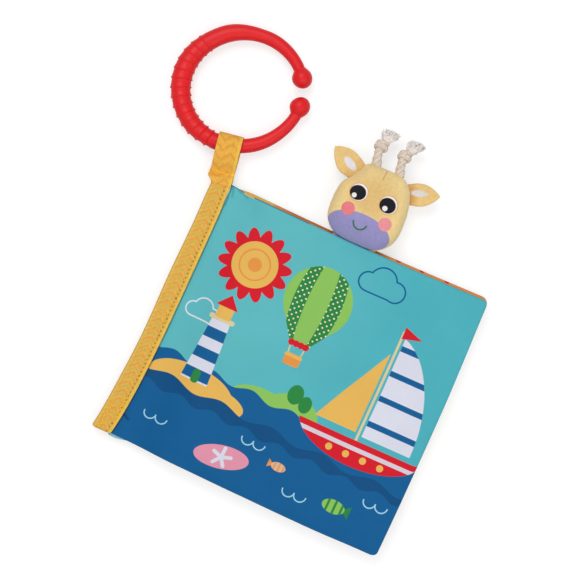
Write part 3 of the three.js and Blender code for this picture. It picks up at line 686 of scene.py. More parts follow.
def tape_material(name, base, second, peak, hole_row):
    """Woven tape printed with one soft zigzag in two muted tones, with its row of needle holes."""
    p = Paint(name, base, roughness=0.8, sheen=0.06)
    parts = p.split(p.full_flat)
    zigzag = p.math("PINGPONG", p.math("ADD", parts[0], 20 * ZIGZAG_HALF - peak), ZIGZAG_HALF)
    uneven = p.math("MULTIPLY", p.noise(2.2, 4.0), 2.6)
    along = p.math("ADD", p.math("MULTIPLY_ADD", zigzag, 0.9, parts[1]), uneven)
    for shift, width, tone, strength in ((0.0, 1.5, colour(224, 138, 60), 0.7), (2.6, 1.9, second, 0.75)):
        place = p.math("WRAP", p.math("ADD", along, shift), ZIGZAG_PITCH / 2, -ZIGZAG_PITCH / 2)
        p.fill(p.outline(place, width), tone, edge=1.9, strength=strength)
    rim = p.math("MULTIPLY_ADD", p.math("ABSOLUTE", parts[2]), -1.0, 1.0)
    p.fill(p.math("SUBTRACT", rim, 0.5), colour(250, 206, 84), edge=0.7, strength=0.75)
    if hole_row:
        # Painted highlight: a lighter line along the tape's fold.
        fold = p.math("ABSOLUTE", p.math("SUBTRACT", p.math("ABSOLUTE", parts[0]), 3.2))
        p.fill(p.math("SUBTRACT", fold, 0.6), colour(250, 208, 100), edge=0.9, strength=0.6)
        across = p.math("SUBTRACT", p.math("ABSOLUTE", parts[0]), hole_row)
        step = p.math("WRAP", p.math("ADD", parts[1], 0.5), STITCH_PITCH / 2, -STITCH_PITCH / 2)
        squares = p.math("MULTIPLY", across, across), p.math("MULTIPLY", step, step)
        reach = p.math("SQRT", p.math("ADD", *squares))
        reach = p.math("ADD", reach, p.math("MULTIPLY_ADD", p.noise(2.0), 0.9, -0.45))
        p.fill(p.math("SUBTRACT", reach, 0.38), colour(92, 62, 22), edge=0.5, strength=0.85)
        p.fill(p.outline(across, 0.4), colour(170, 120, 50), edge=0.6, strength=0.45)
    p.vary(1.7, 0.92, 1.06)
    ribs = p.math("SINE", p.math("MULTIPLY", parts[1], math.tau / 0.7))
    p.bump(p.math("ADD", ribs, p.weave(0.55)), 0.035, 0.6)
    p.bump(p.noise(3.0, 3.0), 0.2, 0.5)
    return p.done()


def plain_cloth(name, base):
    p = Paint(name, base, roughness=0.85, sheen=0.1)
    p.vary(6, 0.94, 1.04)
    p.bump(p.weave(0.5), 0.03, 0.6)
    return p.done()


def thread_material(name, base):
    p = Paint(name, base, roughness=0.55, sheen=0.2)
    p.vary(0.8, 0.85, 1.1)
    p.bump(p.noise(0.25, 2.0), 0.08, 0.5)
    return p.done()


def ring_material():
    p = Paint("satin_red_plastic", colour(227, 20, 28), roughness=0.4, gloss=0.3)
    p.vary(14, 0.97, 1.02)
    p.rough(5, 0.36, 0.48)
    p.bump(p.noise(1.2, 4.0), 0.02, 0.35)
    return p.done()


def pile(p):
    """Short velour pile: a soft mottled nap."""
    p.vary(1.7, 0.945, 1.05, 4.0)
    p.vary(13, 0.97, 1.03)
    p.bump(p.noise(0.55, 4.0), 0.28, 0.45)
    return p.done()


def plush_paint(name, base):
    return Paint(name, base, roughness=0.95, sheen=0.45, edge=0.22)


PLUSH = colour(250, 221, 151)
PLUSH_SHADE = colour(220, 182, 116)
MUZZLE = colour(156, 150, 202)


# Cheeks: place across and colour; eyes: place across, radius, and the shine's place across and radius
CHEEK_Y, CHEEK_RADIUS = 90.67, 3.7
CHEEKS = (-14.35, colour(238, 130, 136)), (7.69, colour(246, 152, 160))
EYE_Y, PUPIL_Y, SHINE_Y = 101.0, 100.6, 98.55
EYES = (-12.9, 4.5, -14.25, 1.35), (4.75, 4.6, 4.0, 1.45)


def face_material():
    """The giraffe's printed face, on the front half of the head, with a painted tan shade over its middle."""
    p = plush_paint("printed_face_plush_and_painted_shade", PLUSH)
    # Painted shade: a darker tan over the middle of the face.
    p.fill(p.ellipse(HEAD_X - 1, HEAD_Y + 3, 11, 13), PLUSH_SHADE, edge=12, strength=0.8)
    p.fill(p.ellipse(HEAD_X - 0.9, 82.3, 18.2, 8.8), MUZZLE)
    for x, blush in CHEEKS:
        p.fill(p.ellipse(x, CHEEK_Y, CHEEK_RADIUS), blush)
    for x, radius, shine_x, shine in EYES:
        p.fill(p.ellipse(x + 0.35, EYE_Y, radius + 0.75), colour(238, 158, 100), edge=0.5, strength=0.85)
        p.fill(p.ellipse(x + 0.35, EYE_Y, radius + 0.3), WHITE)
        p.fill(p.ellipse(x, PUPIL_Y, radius, radius * 0.92), colour(20, 18, 24))
        p.fill(p.ellipse(shine_x, SHINE_Y, shine), WHITE)
    # Painted shade along the crease of the dart on the forehead.
    p.fill(p.line(-3.0, 118.2, -3.3, 112.6, 0.3), colour(164, 118, 62), edge=0.35, strength=0.7)
    return pile(p)


def rope_material(name, base):
    p = Paint(name, base, roughness=0.92, sheen=0.1)
    p.vary(1.2, 0.84, 1.05, 4.0)
    p.bump(p.noise(0.35, 3.0), 0.15, 0.7)
    return p.done()


def own_place(p):
    """Coordinates in millimetres for a node that has no flat attribute."""
    place = p.add("ShaderNodeTexCoord").outputs["Object"]
    p.full_flat = p.vector("MULTIPLY", place, (1 / MM,) * 3)
    p.flat = p.vector("MULTIPLY", p.full_flat, (1, 1, 0))


def film_material():
    p = Paint("crackling_film", colour(222, 228, 232), roughness=0.2, gloss=0.6)
    own_place(p)
    p.vary(8, 0.9, 1.0)
    p.bump(p.noise(3.0, 5.0), 0.3, 0.8)
    return p.done()


def wadding_material():
    p = Paint("soft_wadding", colour(240, 240, 236), roughness=0.98, sheen=0.1)
    own_place(p)
    p.vary(2.0, 0.92, 1.0, 5.0)
    p.bump(p.noise(0.8, 5.0), 0.4, 0.8)
    return p.done()


# How the cloth lies

def foot_bow(y):
    """How far the spine swings out at a height: most at the foot, nothing at the top."""
    return FOOT_BOW * np.exp(-(y + 75) / FOOT_BOW_FADE)


def lie(points):
    """The closed book as it lies: its foot swings towards the spine and its lower edge hangs a little low."""
    points = np.array(points, float)
    x, y = points[..., 0].copy(), points[..., 1].copy()
    d = np.clip((x - HINGE_X) / LEAF_WIDTH, 0, 1)
    bow = foot_bow(y)
    low = np.clip(-y / HALF_HEIGHT, 0, 1.1)
    sag = EDGE_SAG * np.sin(np.pi / 2 * np.clip(d * 1.5, 0, 1)) - CORNER_LIFT * smooth_step((d - 0.72) / 0.28)
    points[..., 0] = x - bow * (1 - d)
    points[..., 1] = y - sag * low
    return points


def stations(start, stop, step, fine_start, fine_stop):
    """Even stations with extra ones towards the ends, given as distances from each end."""
    inner = np.linspace(start + fine_start[-1], stop - fine_stop[-1], round((stop - start) / step))
    ends = [start + f for f in fine_start[:-1]], [stop - f for f in fine_stop[:-1][::-1]]
    return np.array([*ends[0], *inner, *ends[1]])


EDGE_STEPS = [0, 0.15, 0.4, 0.8, 1.5, 2.6, 4.0, 5.6, 7.6]
ROOT_STEPS = [0, 1.0, 1.9, 2.9, 4.0, 5.3, 6.8, 8.6]

# Creases in the front cover's cloth: start, end, half width and depth
CREASES = [
    ((-78.5, -62.9), (-72.4, -65.8), 1.7, 0.5),
    ((-76.6, 73.0), (-75.2, 65.5), 1.2, 0.4),
    ((-72.5, 73.4), (-63.5, 71.6), 1.3, 0.3),
    ((-71.0, 68.0), (-60.0, 62.5), 2.2, 0.3),
]


def groove(x, y, start, end, width):
    """The share of a crease's depth at a place, from 1 on its line to 0 away from it."""
    (x0, y0), (x1, y1) = start, end
    length = math.hypot(x1 - x0, y1 - y0)
    along = ((x - x0) * (x1 - x0) + (y - y0) * (y1 - y0)) / length ** 2
    nearest = np.clip(along, 0, 1)
    away = np.hypot(x - mix(x0, x1, nearest), y - mix(y0, y1, nearest))
    return bell(away / width) * (1 - 0.6 * nearest)


SEAM_ROUND = 0.9
PUCKER_PITCH, PUCKER_REACH, PUCKER_HEIGHT = 7.6, 3.0, 0.2
FOLD_PITCH, FOLD_HEIGHT = 21, 0.25
SOFT_HEIGHT = 0.2

# The cloth simulation: its frames, the share of its relief that stays, and the most that a point moves
SIMULATED_FRAMES = 20
KEPT_RELIEF = 0.6
OPEN_SIDE_OUTWARD, OUTWARD = 1.3, 0.12
OPEN_SIDE_INWARD, INWARD = 0.2, 0.3


class Leaf:
    """A padded leaf: its level above the back cover, its sizes, the height of its middle and its seed."""

    def __init__(self, name, level, height, rise, thickness, mid, seed):
        self.name, self.level = name, level
        self.height, self.rise, self.thickness, self.mid = height, rise, thickness, mid
        self.bound_z = LOWEST_BOUND_Z + level * BOUND_PITCH
        self.seed = seed
        self.past_top = PAGE_PAST_TOP if name == "inner_leaf_1" else 0.0
        self.past_foot = PAGE_PAST_FOOT if name == "inner_leaf_2" else 0.0

    def half_height(self, d):
        into = np.clip(d - (LEAF_WIDTH - CORNER_RADIUS), 0, CORNER_RADIUS)
        corner = CORNER_RADIUS - np.sqrt(np.maximum(0, CORNER_RADIUS ** 2 - into ** 2))
        drawn = SIDE_DRAW_IN * np.sin(np.pi * np.clip(d / LEAF_WIDTH, 0, 1))
        return self.height / 2 - corner - drawn

    def reach_past(self, d, y):
        """How far a page stands out past the cover along its top and near the spine's foot."""
        under_head = smooth_step((d - 50) / 4) * smooth_step((98 - d) / 4)
        at_top = smooth_step((y - 60) / 14)
        top = self.past_top * (1 - 0.8 * under_head) * at_top
        corner_reach = 1.0 if self.name == "front_cover" else -1.3 * (self.rise > 0)
        corner = corner_reach * bell(np.maximum(d, 0) / 7) * at_top
        foot = self.past_foot * bell((d - 2) / 8) * smooth_step((-y - 60) / 14)
        return top * smooth_step((d - 4) / 8) + corner - foot

    def surfaces(self):
        """Rows of points of the upper and the lower surface, and their places on the flat cloth."""
        d = stations(-1.0, LEAF_WIDTH, GRID_STEP, ROOT_STEPS, EDGE_STEPS)[:, None]
        side_steps = [step / HALF_HEIGHT for step in EDGE_STEPS]
        reach = stations(-1.0, 1.0, GRID_STEP / HALF_HEIGHT, side_steps, side_steps)[None, :]
        half_height = self.half_height(d)
        y = reach * half_height
        to_side = half_height - np.abs(y)
        to_free = LEAF_WIDTH - d + 0 * y
        rim = quarter_round(to_side / SEAM_ROUND) * quarter_round(to_free / SEAM_ROUND)
        crown = quarter_round(to_side / RIM_REACH) * quarter_round(to_free / RIM_REACH)
        # The open cover lies over the tape, which swings out at the foot, so the leaves stay low there.
        ramp = smooth_step((d - 2 * foot_bow(y)) / SPINE_RAMP)
        padded = mix(SEAM_THICKNESS, self.thickness, crown)
        half = mix(BOUND_THICKNESS, padded, ramp) / 2 * rim
        near_edge = np.minimum(to_side, to_free)
        bulge = 0.3 + 0.9 * (1 - ((y + 5) / HALF_HEIGHT) ** 2) - 0.6 * np.clip(y / HALF_HEIGHT, 0, 1)
        x = HINGE_X + d + bulge * np.clip(d / LEAF_WIDTH, 0, 1) ** 8 + 0 * y
        along = np.where(to_side < to_free, d, y)
        drift = 2.2 * waves(self.seed + 3, 30, 70, 4)(along, 0 * along)
        pucker = np.sin(math.tau * along / PUCKER_PITCH + drift)
        out = near_edge / PUCKER_REACH
        pucker = pucker * out * np.exp(1 - out) * np.clip(d / 20, 0, 1)
        broad = waves(self.seed, 55, 120, 6)(x, y)
        soft = waves(self.seed + 1, 16, 34, 10)(x, y)
        inside = np.clip(near_edge / 9, 0, 1) * np.clip((d - 6) / 16, 0, 1)
        near_spine = bell((d - 16) / 16) * np.clip((y + 90) / 120, 0, 1)
        folds = (np.sin(math.tau * (y + 0.55 * d) / FOLD_PITCH + 0.7) - 1) * near_spine
        lift = self.level / 3
        rim_wave = waves(self.seed + 5, 20, 46, 7)(x, y)
        rim_wave = rim_wave * bell(near_edge / 5) * np.clip(d / 25, 0, 1)
        mid = mix(self.bound_z, self.mid, ramp) + lift * 0.45 * broad * ramp + 0.5 * rim_wave
        puckers, uneven = PUCKER_HEIGHT * pucker, SOFT_HEIGHT * soft * inside
        upper = mid + half + self.soften() * (puckers + uneven + FOLD_HEIGHT * folds)
        if self.name == "front_cover":
            upper = upper - 0.3 * bell((d - 0.8) / 1.2)
            for start, end, width, depth in CREASES:
                upper = upper - depth * groove(x, y, start, end, width)
        lower = mid - half + 0.5 * self.soften() * (puckers - uneven / 2)
        place = y + self.rise + self.reach_past(d, y)
        top = np.stack([x, place, np.broadcast_to(upper, x.shape)], axis=-1)
        under = np.stack([x, place, np.broadcast_to(lower, x.shape)], axis=-1)
        flat = np.stack([HINGE_X + d + 0 * y, reach * self.height / 2 + 0 * d, 0 * x], axis=-1)
        return lie(top), lie(under), flat

    def soften(self):
        """The share of the relief that a leaf has: all on the padded covers, less on the thin pages."""
        return 1.0 if self.thickness == COVER_THICKNESS else 0.6

    def cloth(self, upper_material, lower_material):
        top, under, flat = self.surfaces()
        rows, columns, _ = top.shape
        total = rows * columns
        points = np.concatenate([top.reshape(-1, 3), under.reshape(-1, 3)])
        flats = np.concatenate([flat.reshape(-1, 3), flat.reshape(-1, 3)])
        # The two surfaces share their points along the three sewn sides.
        same = np.arange(2 * total)
        grid = np.arange(total).reshape(rows, columns)
        sewn = np.unique(np.concatenate([grid[-1], grid[:, 0], grid[:, -1]]))
        same[total + sewn] = sewn
        points[sewn] = (points[sewn] + points[total + sewn]) / 2
        keep = np.unique(same)
        number = np.full(2 * total, -1)
        number[keep] = np.arange(len(keep))
        upper_faces = grid_faces(rows, columns)
        lower_faces = grid_faces(rows, columns, start=total, flip=True)
        root = [(a, b, total + b, total + a) for a, b in zip(grid[0], grid[0, 1:])]
        faces, slots = [], []
        for slot, group in ((0, upper_faces), (1, lower_faces), (1, root)):
            for face in group:
                made = []
                for index in face:
                    index = number[same[index]]
                    if index not in made:
                        made.append(index)
                if len(made) > 2:
                    faces.append(made)
                    slots.append(slot)
        piece = new_object(self.name + "_cloth", points[keep], faces, flats[keep], slots)
        dress(piece, upper_material, lower_material)
        self.press_out(piece, keep >= total)
        return subdivide(piece)

    def press_out(self, piece, is_under):
        """A short cloth simulation: the sewn sides hold, and the filling presses the loose cloth out.

        The filling keeps the cloth near its place, so only a share of the movement stays, with a cap that is
        small on the sides that face another leaf.
        """
        mesh = piece.data
        count = len(mesh.vertices)
        before = read_vectors(mesh.vertices, "co", count)
        flat = read_vectors(mesh.attributes["flat"].data, "vector", count)
        d = flat[:, 0] - HINGE_X
        to_edge = np.minimum(self.height / 2 - np.abs(flat[:, 1]), LEAF_WIDTH - d)
        held = np.nonzero((to_edge < 2.0) | (d < 1.2))[0]
        group = piece.vertex_groups.new(name="sewn")
        group.add([int(i) for i in held], 1.0, "REPLACE")
        cloth = piece.modifiers.new("cloth", "CLOTH")
        settings = cloth.settings
        settings.quality = 6
        settings.mass = 0.2
        settings.tension_stiffness = settings.compression_stiffness = 10
        settings.shear_stiffness = 4
        settings.bending_stiffness = 3
        settings.air_damping = 2
        settings.use_pressure = True
        settings.uniform_pressure_force = 0.4
        settings.shrink_min = settings.shrink_max = -0.009
        settings.vertex_group_mass = "sewn"
        settings.effector_weights.gravity = 0
        scene = bpy.context.scene
        for step in range(SIMULATED_FRAMES):
            scene.frame_set(step + 1)
        seen = piece.evaluated_get(bpy.context.evaluated_depsgraph_get()).data
        move = (read_vectors(seen.vertices, "co", count) - before) / MM
        piece.modifiers.remove(cloth)
        piece.vertex_groups.remove(group)
        scene.frame_set(1)
        edges = np.empty(len(mesh.edges) * 2, np.int32)
        mesh.edges.foreach_get("vertices", edges)
        out = KEPT_RELIEF * evened(np.where(is_under, -move[:, 2], move[:, 2]), edges.reshape(-1, 2), 2)
        outward, inward = self.caps(is_under, d)
        out = np.where(out > 0, outward * np.tanh(out / outward), inward * np.tanh(out / inward))
        ease = smooth_step((to_edge - 1) / 4) * smooth_step((d - 1) / 4)
        after = before.copy()
        after[:, 2] += np.where(is_under, -out, out) * ease * MM
        after[:, :2] += 0.3 * np.tanh(move[:, :2] / 0.6) * ease[:, None] * MM
        mesh.vertices.foreach_set("co", after.ravel())
        mesh.update()

    def caps(self, is_under, d):
        """The most that a point moves out of and into the leaf, in millimetres.

        The open cover lies over the tape, so its outer side stays low near the hinge.
        """
        upper_open = ~is_under & (self.name == "front_cover")
        lower_open = is_under & (self.name == "back_cover")
        past_tape = smooth_step((d - 13) / 16)
        outward = np.where(upper_open, mix(OUTWARD, OPEN_SIDE_OUTWARD, past_tape), OUTWARD)
        inward = np.where(upper_open | lower_open, OPEN_SIDE_INWARD, INWARD)
        return outward, inward


LEAVES = {
    "back_cover": Leaf("back_cover", 0, TALL_HEIGHT, TALL_RISE, COVER_THICKNESS, 2.0, 11),
    "inner_leaf_2": Leaf("inner_leaf_2", 1, TALL_HEIGHT, TALL_RISE, PAGE_THICKNESS, 5.65, 23),
    "inner_leaf_1": Leaf("inner_leaf_1", 2, SHORT_HEIGHT, 0.0, PAGE_THICKNESS, 8.6, 37),
    "front_cover": Leaf("front_cover", 3, SHORT_HEIGHT, 0.0, COVER_THICKNESS, 12.25, 41),
}


def cloth_leaves():
    """The four leaves: prints above and below, the panels that each stands for, its slot and its parent."""
    page = page_print("cream_page_print", CREAM, PINK, GREEN, GOLD, (10, 8, 20, 5))
    outside = back_print()
    amber = orange_print("amber_page_print_and_painted_shadow")
    cream = page_print("cream_leaf_print", CREAM, TEAL, ORANGE, PINK, (6, 10, 24, 8))
    orange = orange_print("orange_page_print_and_painted_shadow")
    pale_sky = page_print("pale_sky_print", SKY, PINK, BLUE, CREAM, (0, 10, 24, 16))
    cover = cover_print()
    inside = page_print("inside_cover_print", CREAM, LEAF_GREEN, TEAL, ORANGE, (0, 8, 30, 10))
    covers, pages = ("outer_panel", "inner_panel"), ("front_panel", "back_panel")
    rows = (
        ("back_cover", page, outside, covers, "cover_print", None),
        ("inner_leaf_2", amber, cream, pages, "page_print_sky", "spine"),
        ("inner_leaf_1", orange, pale_sky, pages, "page_print_orange", "inner_leaf_2"),
        ("front_cover", cover, inside, covers, "cover_print", "inner_leaf_1"),
    )
    for name, above, below, panels, slot, parent in rows:
        leaf = LEAVES[name]
        piece = leaf.cloth(above, below)
        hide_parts(*[f"{name}_{panel}" for panel in panels])
        if parent:
            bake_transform(piece)
        else:
            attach(piece, "spine")


def bound_edges(material):
    """The pressed edges of the leaves inside the spine tape."""
    lower = [(-88.5, -0.35), (-88.2, -0.5), (-84, -0.55), (-78.2, -0.5)]
    profile = [*lower, (HINGE_X, 0), *[(x, -z) for x, z in lower[::-1]]]
    for name, leaf in LEAVES.items():
        ys = np.linspace(-leaf.height / 2 + 1, leaf.height / 2 - 1, 60) + leaf.rise
        rows = [[(x, y, leaf.bound_z + z) for x, z in profile] for y in ys]
        points, faces = tube(np.array(rows)[:, ::-1])
        piece = new_object(name + "_bound_strip", lie(points), faces, points)
        dress(piece, material)
        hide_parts(name + "_bound_edge")
        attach(piece, "spine")


def tape_path():
    """The tape's middle line from the lower flap's edge round the fold to the upper flap's edge."""
    low, high = TAPE_BOTTOM + TAPE / 2, TAPE_TOP - TAPE / 2
    angles = np.linspace(-np.pi / 2, np.pi / 2, 19)
    fold_x = -86.4 - 2.8 * np.abs(np.cos(angles)) ** 0.7
    fold_z = (high + low) / 2 + (high - low) / 2 * signed_power(np.sin(angles), 0.7)
    lower = [(x, low) for x in np.linspace(-78.0, -86.0, 9)]
    upper = [(x, high) for x in np.linspace(-86.0, -78.0, 9)]
    return np.array([*lower, *zip(fold_x, fold_z), *upper])


def offset_line(line, distance):
    tangent = np.gradient(line, axis=0)
    tangent /= np.linalg.norm(tangent, axis=1)[:, None]
    normal = np.stack([-tangent[:, 1], tangent[:, 0]], axis=1)
    return line + normal * distance


def tape_closing(y, top_y):
    """The folded tape closes above the leaves: its height there over its full height."""
    return 1 - 0.78 * smooth_step((y - 76.6) / (top_y - 76.6)) * (y > 76.6)


def run_along(line):
    """The distance of each point of a line from its start, along the line."""
    return np.concatenate([[0], np.cumsum(np.linalg.norm(np.diff(line, axis=0), axis=1))])


TAPE_RUN = tape_path()
TAPE_RUN_HALF = float(run_along(TAPE_RUN)[-1]) / 2
SEWN_FROM_EDGE = 2.2
TAPE_HOLE_ROW = TAPE_RUN_HALF - SEWN_FROM_EDGE


def tape_narrowing(x, y):
    """The flaps' edges run a little towards the fold near the top."""
    return 0.9 * smooth_step((y - 57) / 22) * np.clip((x + 87) / 9, 0, 1)


def spine_tape(material):
    """The tape folded round the bound edges; its flat place is the distance from the fold and the height."""
    line = TAPE_RUN
    outer, inner = offset_line(line, TAPE / 2), offset_line(line, -TAPE / 2)
    run = run_along(line)
    run = run - run[-1] / 2
    section = np.concatenate([outer, [line[-1] + [0.3, 0]], inner[::-1], [line[0] + [0.3, 0]]])
    across = np.concatenate([run, [run[-1] + 0.3], run[::-1], [run[0] - 0.3]])
    shares = np.concatenate([np.linspace(0, 0.94, 88), np.linspace(0.95, 1, 14)])
    ripple = waves(71, 14, 30, 5)
    top_y = TAPE_TOP_Y - 1.2 + 2.9 * np.clip((section[:, 0] + 89.6) / 11.6, 0, 1)
    rows, flats = [], []
    for share in shares:
        y = mix(TAPE_FOOT_Y, top_y, share)
        lump = 0.14 * ripple(section[:, 0] * 2, y)
        x = section[:, 0] - 0.25 * np.sin(y / 11) * np.clip((-80 - section[:, 0]) / 8, 0, 1)
        x = x + 0.4 * smooth_step((y - 66) / 9) * np.clip((-84 - section[:, 0]) / 5, 0, 1)
        x = x - tape_narrowing(section[:, 0], y)
        z = TAPE_MID + (section[:, 1] - TAPE_MID) * tape_closing(y, top_y) + lump
        rows.append(np.stack([x, y, z], axis=1))
        edge = np.clip((np.abs(across) - (run[-1] - 1.6)) / 1.0, 0, 1)
        flats.append(np.stack([across, y, edge], axis=1))
    points, faces = tube(rows)
    flat = np.concatenate([np.array(flats).reshape(-1, 3), [[0, TAPE_FOOT_Y, 0], [0, TAPE_TOP_Y, 0]]])
    piece = new_object("folded_spine_tape", lie(points), faces, flat)
    dress(piece, material)
    subdivide(piece)
    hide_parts("spine_binding_tape")
    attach(piece, "spine")


STITCH_SINK = 0.18


def stitch(bundle, start, end, normal, radius, rise):
    """One stitch: a short thread that arches out of the cloth and back into it."""
    start, end, normal = (np.asarray(v, float) for v in (start, end, normal))
    shares = np.linspace(0, 1, 7)
    arch = np.sin(np.pi * shares) * rise - STITCH_SINK
    line = start + (end - start) * shares[:, None] + normal * arch[:, None]
    bundle.thread(line, radius, 6)


STITCH_LENGTH, STITCH_RADIUS, STITCH_RISE = 1.8, 0.2, 0.26

# The raised rows of close stitches at the tape's foot: two places on each line
FOOT_STITCH_PITCH, FOOT_STITCH_HALF_WIDTH = 0.8, 0.55
FOOT_STITCH_RADIUS, FOOT_STITCH_RISE = 0.38, 0.42
FOOT_ROWS = [((-80.9, -54.9), (-80.5, -68.2)), ((-86.6, -58.3), (-85.6, -75.4))]


def tape_stitching(material):
    """The row that sews the tape to the leaves, on both sides, and the two close rows at its foot."""
    threads = Bundle()
    for side, z in ((1, TAPE_TOP), (-1, TAPE_BOTTOM)):
        for y in np.arange(TAPE_FOOT_Y + 1.4, TAPE_TOP_Y - 2.4, STITCH_PITCH):
            x = HINGE_X - SEWN_FROM_EDGE
            x = x - tape_narrowing(x, y)
            start, end = lie([(x, y, z), (x, y + STITCH_LENGTH, z)])
            stitch(threads, start, end, (0, 0, side), STITCH_RADIUS, STITCH_RISE)
    for (x0, y0), (x1, y1) in FOOT_ROWS:
        for i, share in enumerate(np.arange(0, 1, FOOT_STITCH_PITCH / abs(y1 - y0))):
            side = FOOT_STITCH_HALF_WIDTH if i % 2 else -FOOT_STITCH_HALF_WIDTH
            x, y = mix(x0, x1, share) + 0.3 * math.sin(9 * share), mix(y0, y1, share)
            start, end = lie([(x - side, y, TAPE_TOP), (x + side, y - FOOT_STITCH_PITCH, TAPE_TOP)])
            stitch(threads, start, end, (0, 0, 1), FOOT_STITCH_RADIUS, FOOT_STITCH_RISE)
    piece = threads.piece("tape_stitching")
    dress(piece, material)
    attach(piece, "spine")


# The loop

RIBBED_BORE = RING_BORE_SHORT - RIB_HEIGHT
EYE_FAR = RING_REACH - math.sqrt(RIBBED_BORE ** 2 - (LOOP_WIDTH / 2) ** 2) + RING_CLEARANCE
EYE_MIDDLE = (EYE_FAR + LOOP_NECK) / 2
EYE_HALF_LENGTH = (EYE_FAR - LOOP_NECK) / 2
BAND_START, BAND_OPENS = -6.0, 1.6


def band_line():
    """The loop's middle line seen edge on: a drop that opens from the bar tack and goes round the ring."""
    half = LOOP_TAPE / 2
    tack = 0.8 + half
    height = EYE_HALF_HEIGHT + half
    sewn = np.linspace(BAND_START, BAND_OPENS, 20)[:-1]
    lead = np.concatenate([sewn, np.linspace(BAND_OPENS, EYE_MIDDLE, 26)])
    open_share = np.clip((lead - BAND_OPENS) / (EYE_MIDDLE - BAND_OPENS), 0, 1)
    z = tack + (height - tack) * np.sin(np.pi / 2 * open_share) ** 0.95
    on_tape = TAPE_HALF_HEIGHT * tape_closing(KINK_Y + lead - 0.6, TAPE_TOP_Y + 1.0) + half + 0.02
    ending = 0.9 * smooth_step((-4.6 - lead) / 1.4)
    z = np.where(lead < BAND_OPENS, np.maximum(z, on_tape) - ending, z)
    angles = np.linspace(np.pi / 2, -np.pi / 2, 41)[1:-1]
    far_s = EYE_MIDDLE + (EYE_HALF_LENGTH + half - 0.6) * np.cos(angles) ** 0.8
    far_z = height * signed_power(np.sin(angles), 0.8)
    upper = np.stack([lead, z], axis=1)
    far = np.stack([far_s, far_z], axis=1)
    lower = np.stack([lead, -z], axis=1)[::-1]
    return np.concatenate([upper, far, lower])


def loop_point(s, across, z):
    x = KINK_X + across * np.cos(LEAN) - s * np.sin(LEAN)
    y = KINK_Y + across * np.sin(LEAN) + s * np.cos(LEAN)
    rise = mix(TAPE_MID, RING_Z, np.clip(s / (LOOP_NECK - LOOP_TAPE), 0, 1))
    return np.stack([x, y, z + rise], axis=-1)


def hanging_band(material):
    """The loop's tape: it starts on the folded tape, narrows in the bar tack and goes round the ring."""
    line = band_line()
    outer, inner = offset_line(line, LOOP_TAPE / 2), offset_line(line, -LOOP_TAPE / 2)
    run = run_along(line)
    half_width = LOOP_WIDTH / 2
    shares = np.array([-1, -0.985, -0.95, *np.linspace(-0.8, 0.6, 8), 0.72, 0.8, 0.95, 0.985, 1])
    rows, flats = [], []
    for k in range(len(line)):
        row, flat = [], []
        for side, edge_line in ((1, outer), (-1, inner)):
            for share in shares[::side]:
                s, z = edge_line[k]
                low = smooth_step((-0.6 - s) / 4.6)
                reach = mix(half_width, 4.7 if share < 0 else 6.45, low)
                flare = 0.11 if share < 0 else -0.02
                across = share * reach * (1 + flare * bell((s + 0.2) / 2.8))
                start = (0.6 * share + 0.1) * bell(s / 3)
                fold = 0.14 * bell((share - 0.74) / 0.05) - 0.1 * bell((share - 0.9) / 0.1)
                lift = 0.18 * math.sin(s / 2.7 + 2 * share) - fold * side
                row.append(loop_point(s + start, across, z + lift * np.clip(s / 6, 0, 1)))
                flat.append((across, run[k], 1.0 if share > 0.74 else 0.0))
        rows.append(row)
        flats.append(flat)
    points, faces = tube(rows)
    flat = np.concatenate([np.array(flats).reshape(-1, 3), [[0, 0, 0], [0, run[-1], 0]]])
    piece = new_object("loop_band", points, faces, flat)
    dress(piece, material)
    subdivide(piece)
    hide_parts("hanging_loop")
    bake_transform(piece)


TACK_STITCHES, TACK_PITCH, TACK_START = 24, 0.52, -6.0
TACK_PLACE, TACK_SLANT = 1.3, 0.13
TACK_HALF_LENGTH, TACK_RADIUS, TACK_Z = 0.75, 0.3, 1.4


def bar_tack(material):
    """The dense row of stitches that closes the loop where it leaves the spine."""
    threads = Bundle()
    for i in range(TACK_STITCHES):
        across = TACK_START + TACK_PITCH * i
        s = TACK_PLACE - TACK_SLANT * across
        a = loop_point(s - TACK_HALF_LENGTH, across, TACK_Z)
        b = loop_point(s + TACK_HALF_LENGTH, across + 0.3, TACK_Z)
        stitch(threads, a, b, (0, 0, 1), TACK_RADIUS, 0.45 + 0.2 * math.sin(1.3 * i))
    piece = threads.piece("loop_bar_tack")
    dress(piece, material)
    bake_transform(piece)


# The ring

TUBE_KNOTS = [
    (MOUTH_HIGH, RING_TIP), (90, 3.75), (135, 4.9), (180, RING_THICK),
    (235, 5.2), (RIB_LAST, 4.6), (285, 4.0), (MOUTH_END, RING_TIP),
]


def tube_half(degrees):
    """Half the ring's thickness at a direction, eased between the knots."""
    places, widths = np.array(TUBE_KNOTS).T
    after = np.clip(np.searchsorted(places, degrees, side="right"), 1, len(places) - 1)
    share = smooth_step((degrees - places[after - 1]) / (places[after] - places[after - 1]))
    return mix(widths[after - 1], widths[after], share)


def ring_bore(degrees):
    turn = np.radians(degrees) - RING_TURN
    return 1 / np.hypot(np.cos(turn) / RING_BORE_LONG, np.sin(turn) / RING_BORE_SHORT)


def rib_height(degrees):
    """Narrow raised lines, faint at first and higher towards the loop, with flatter plastic between them."""
    share = (degrees - RIB_FIRST) / (RIB_LAST - RIB_FIRST)
    ribbed = (share > 0) & (share < 1)
    growth = mix(0.85, 1.55, np.clip(share, 0, 1) ** 1.4)
    phase = np.mod(share * RIB_COUNT, 1.0) - 0.5
    step = phase - 0.5 * np.tanh(phase / 0.04)
    between = 0.42 * step - 0.16 * (2 * phase) ** 2
    return np.where(ribbed, growth * (RIB_HEIGHT * bell(phase / 0.08) + between), 0.0)


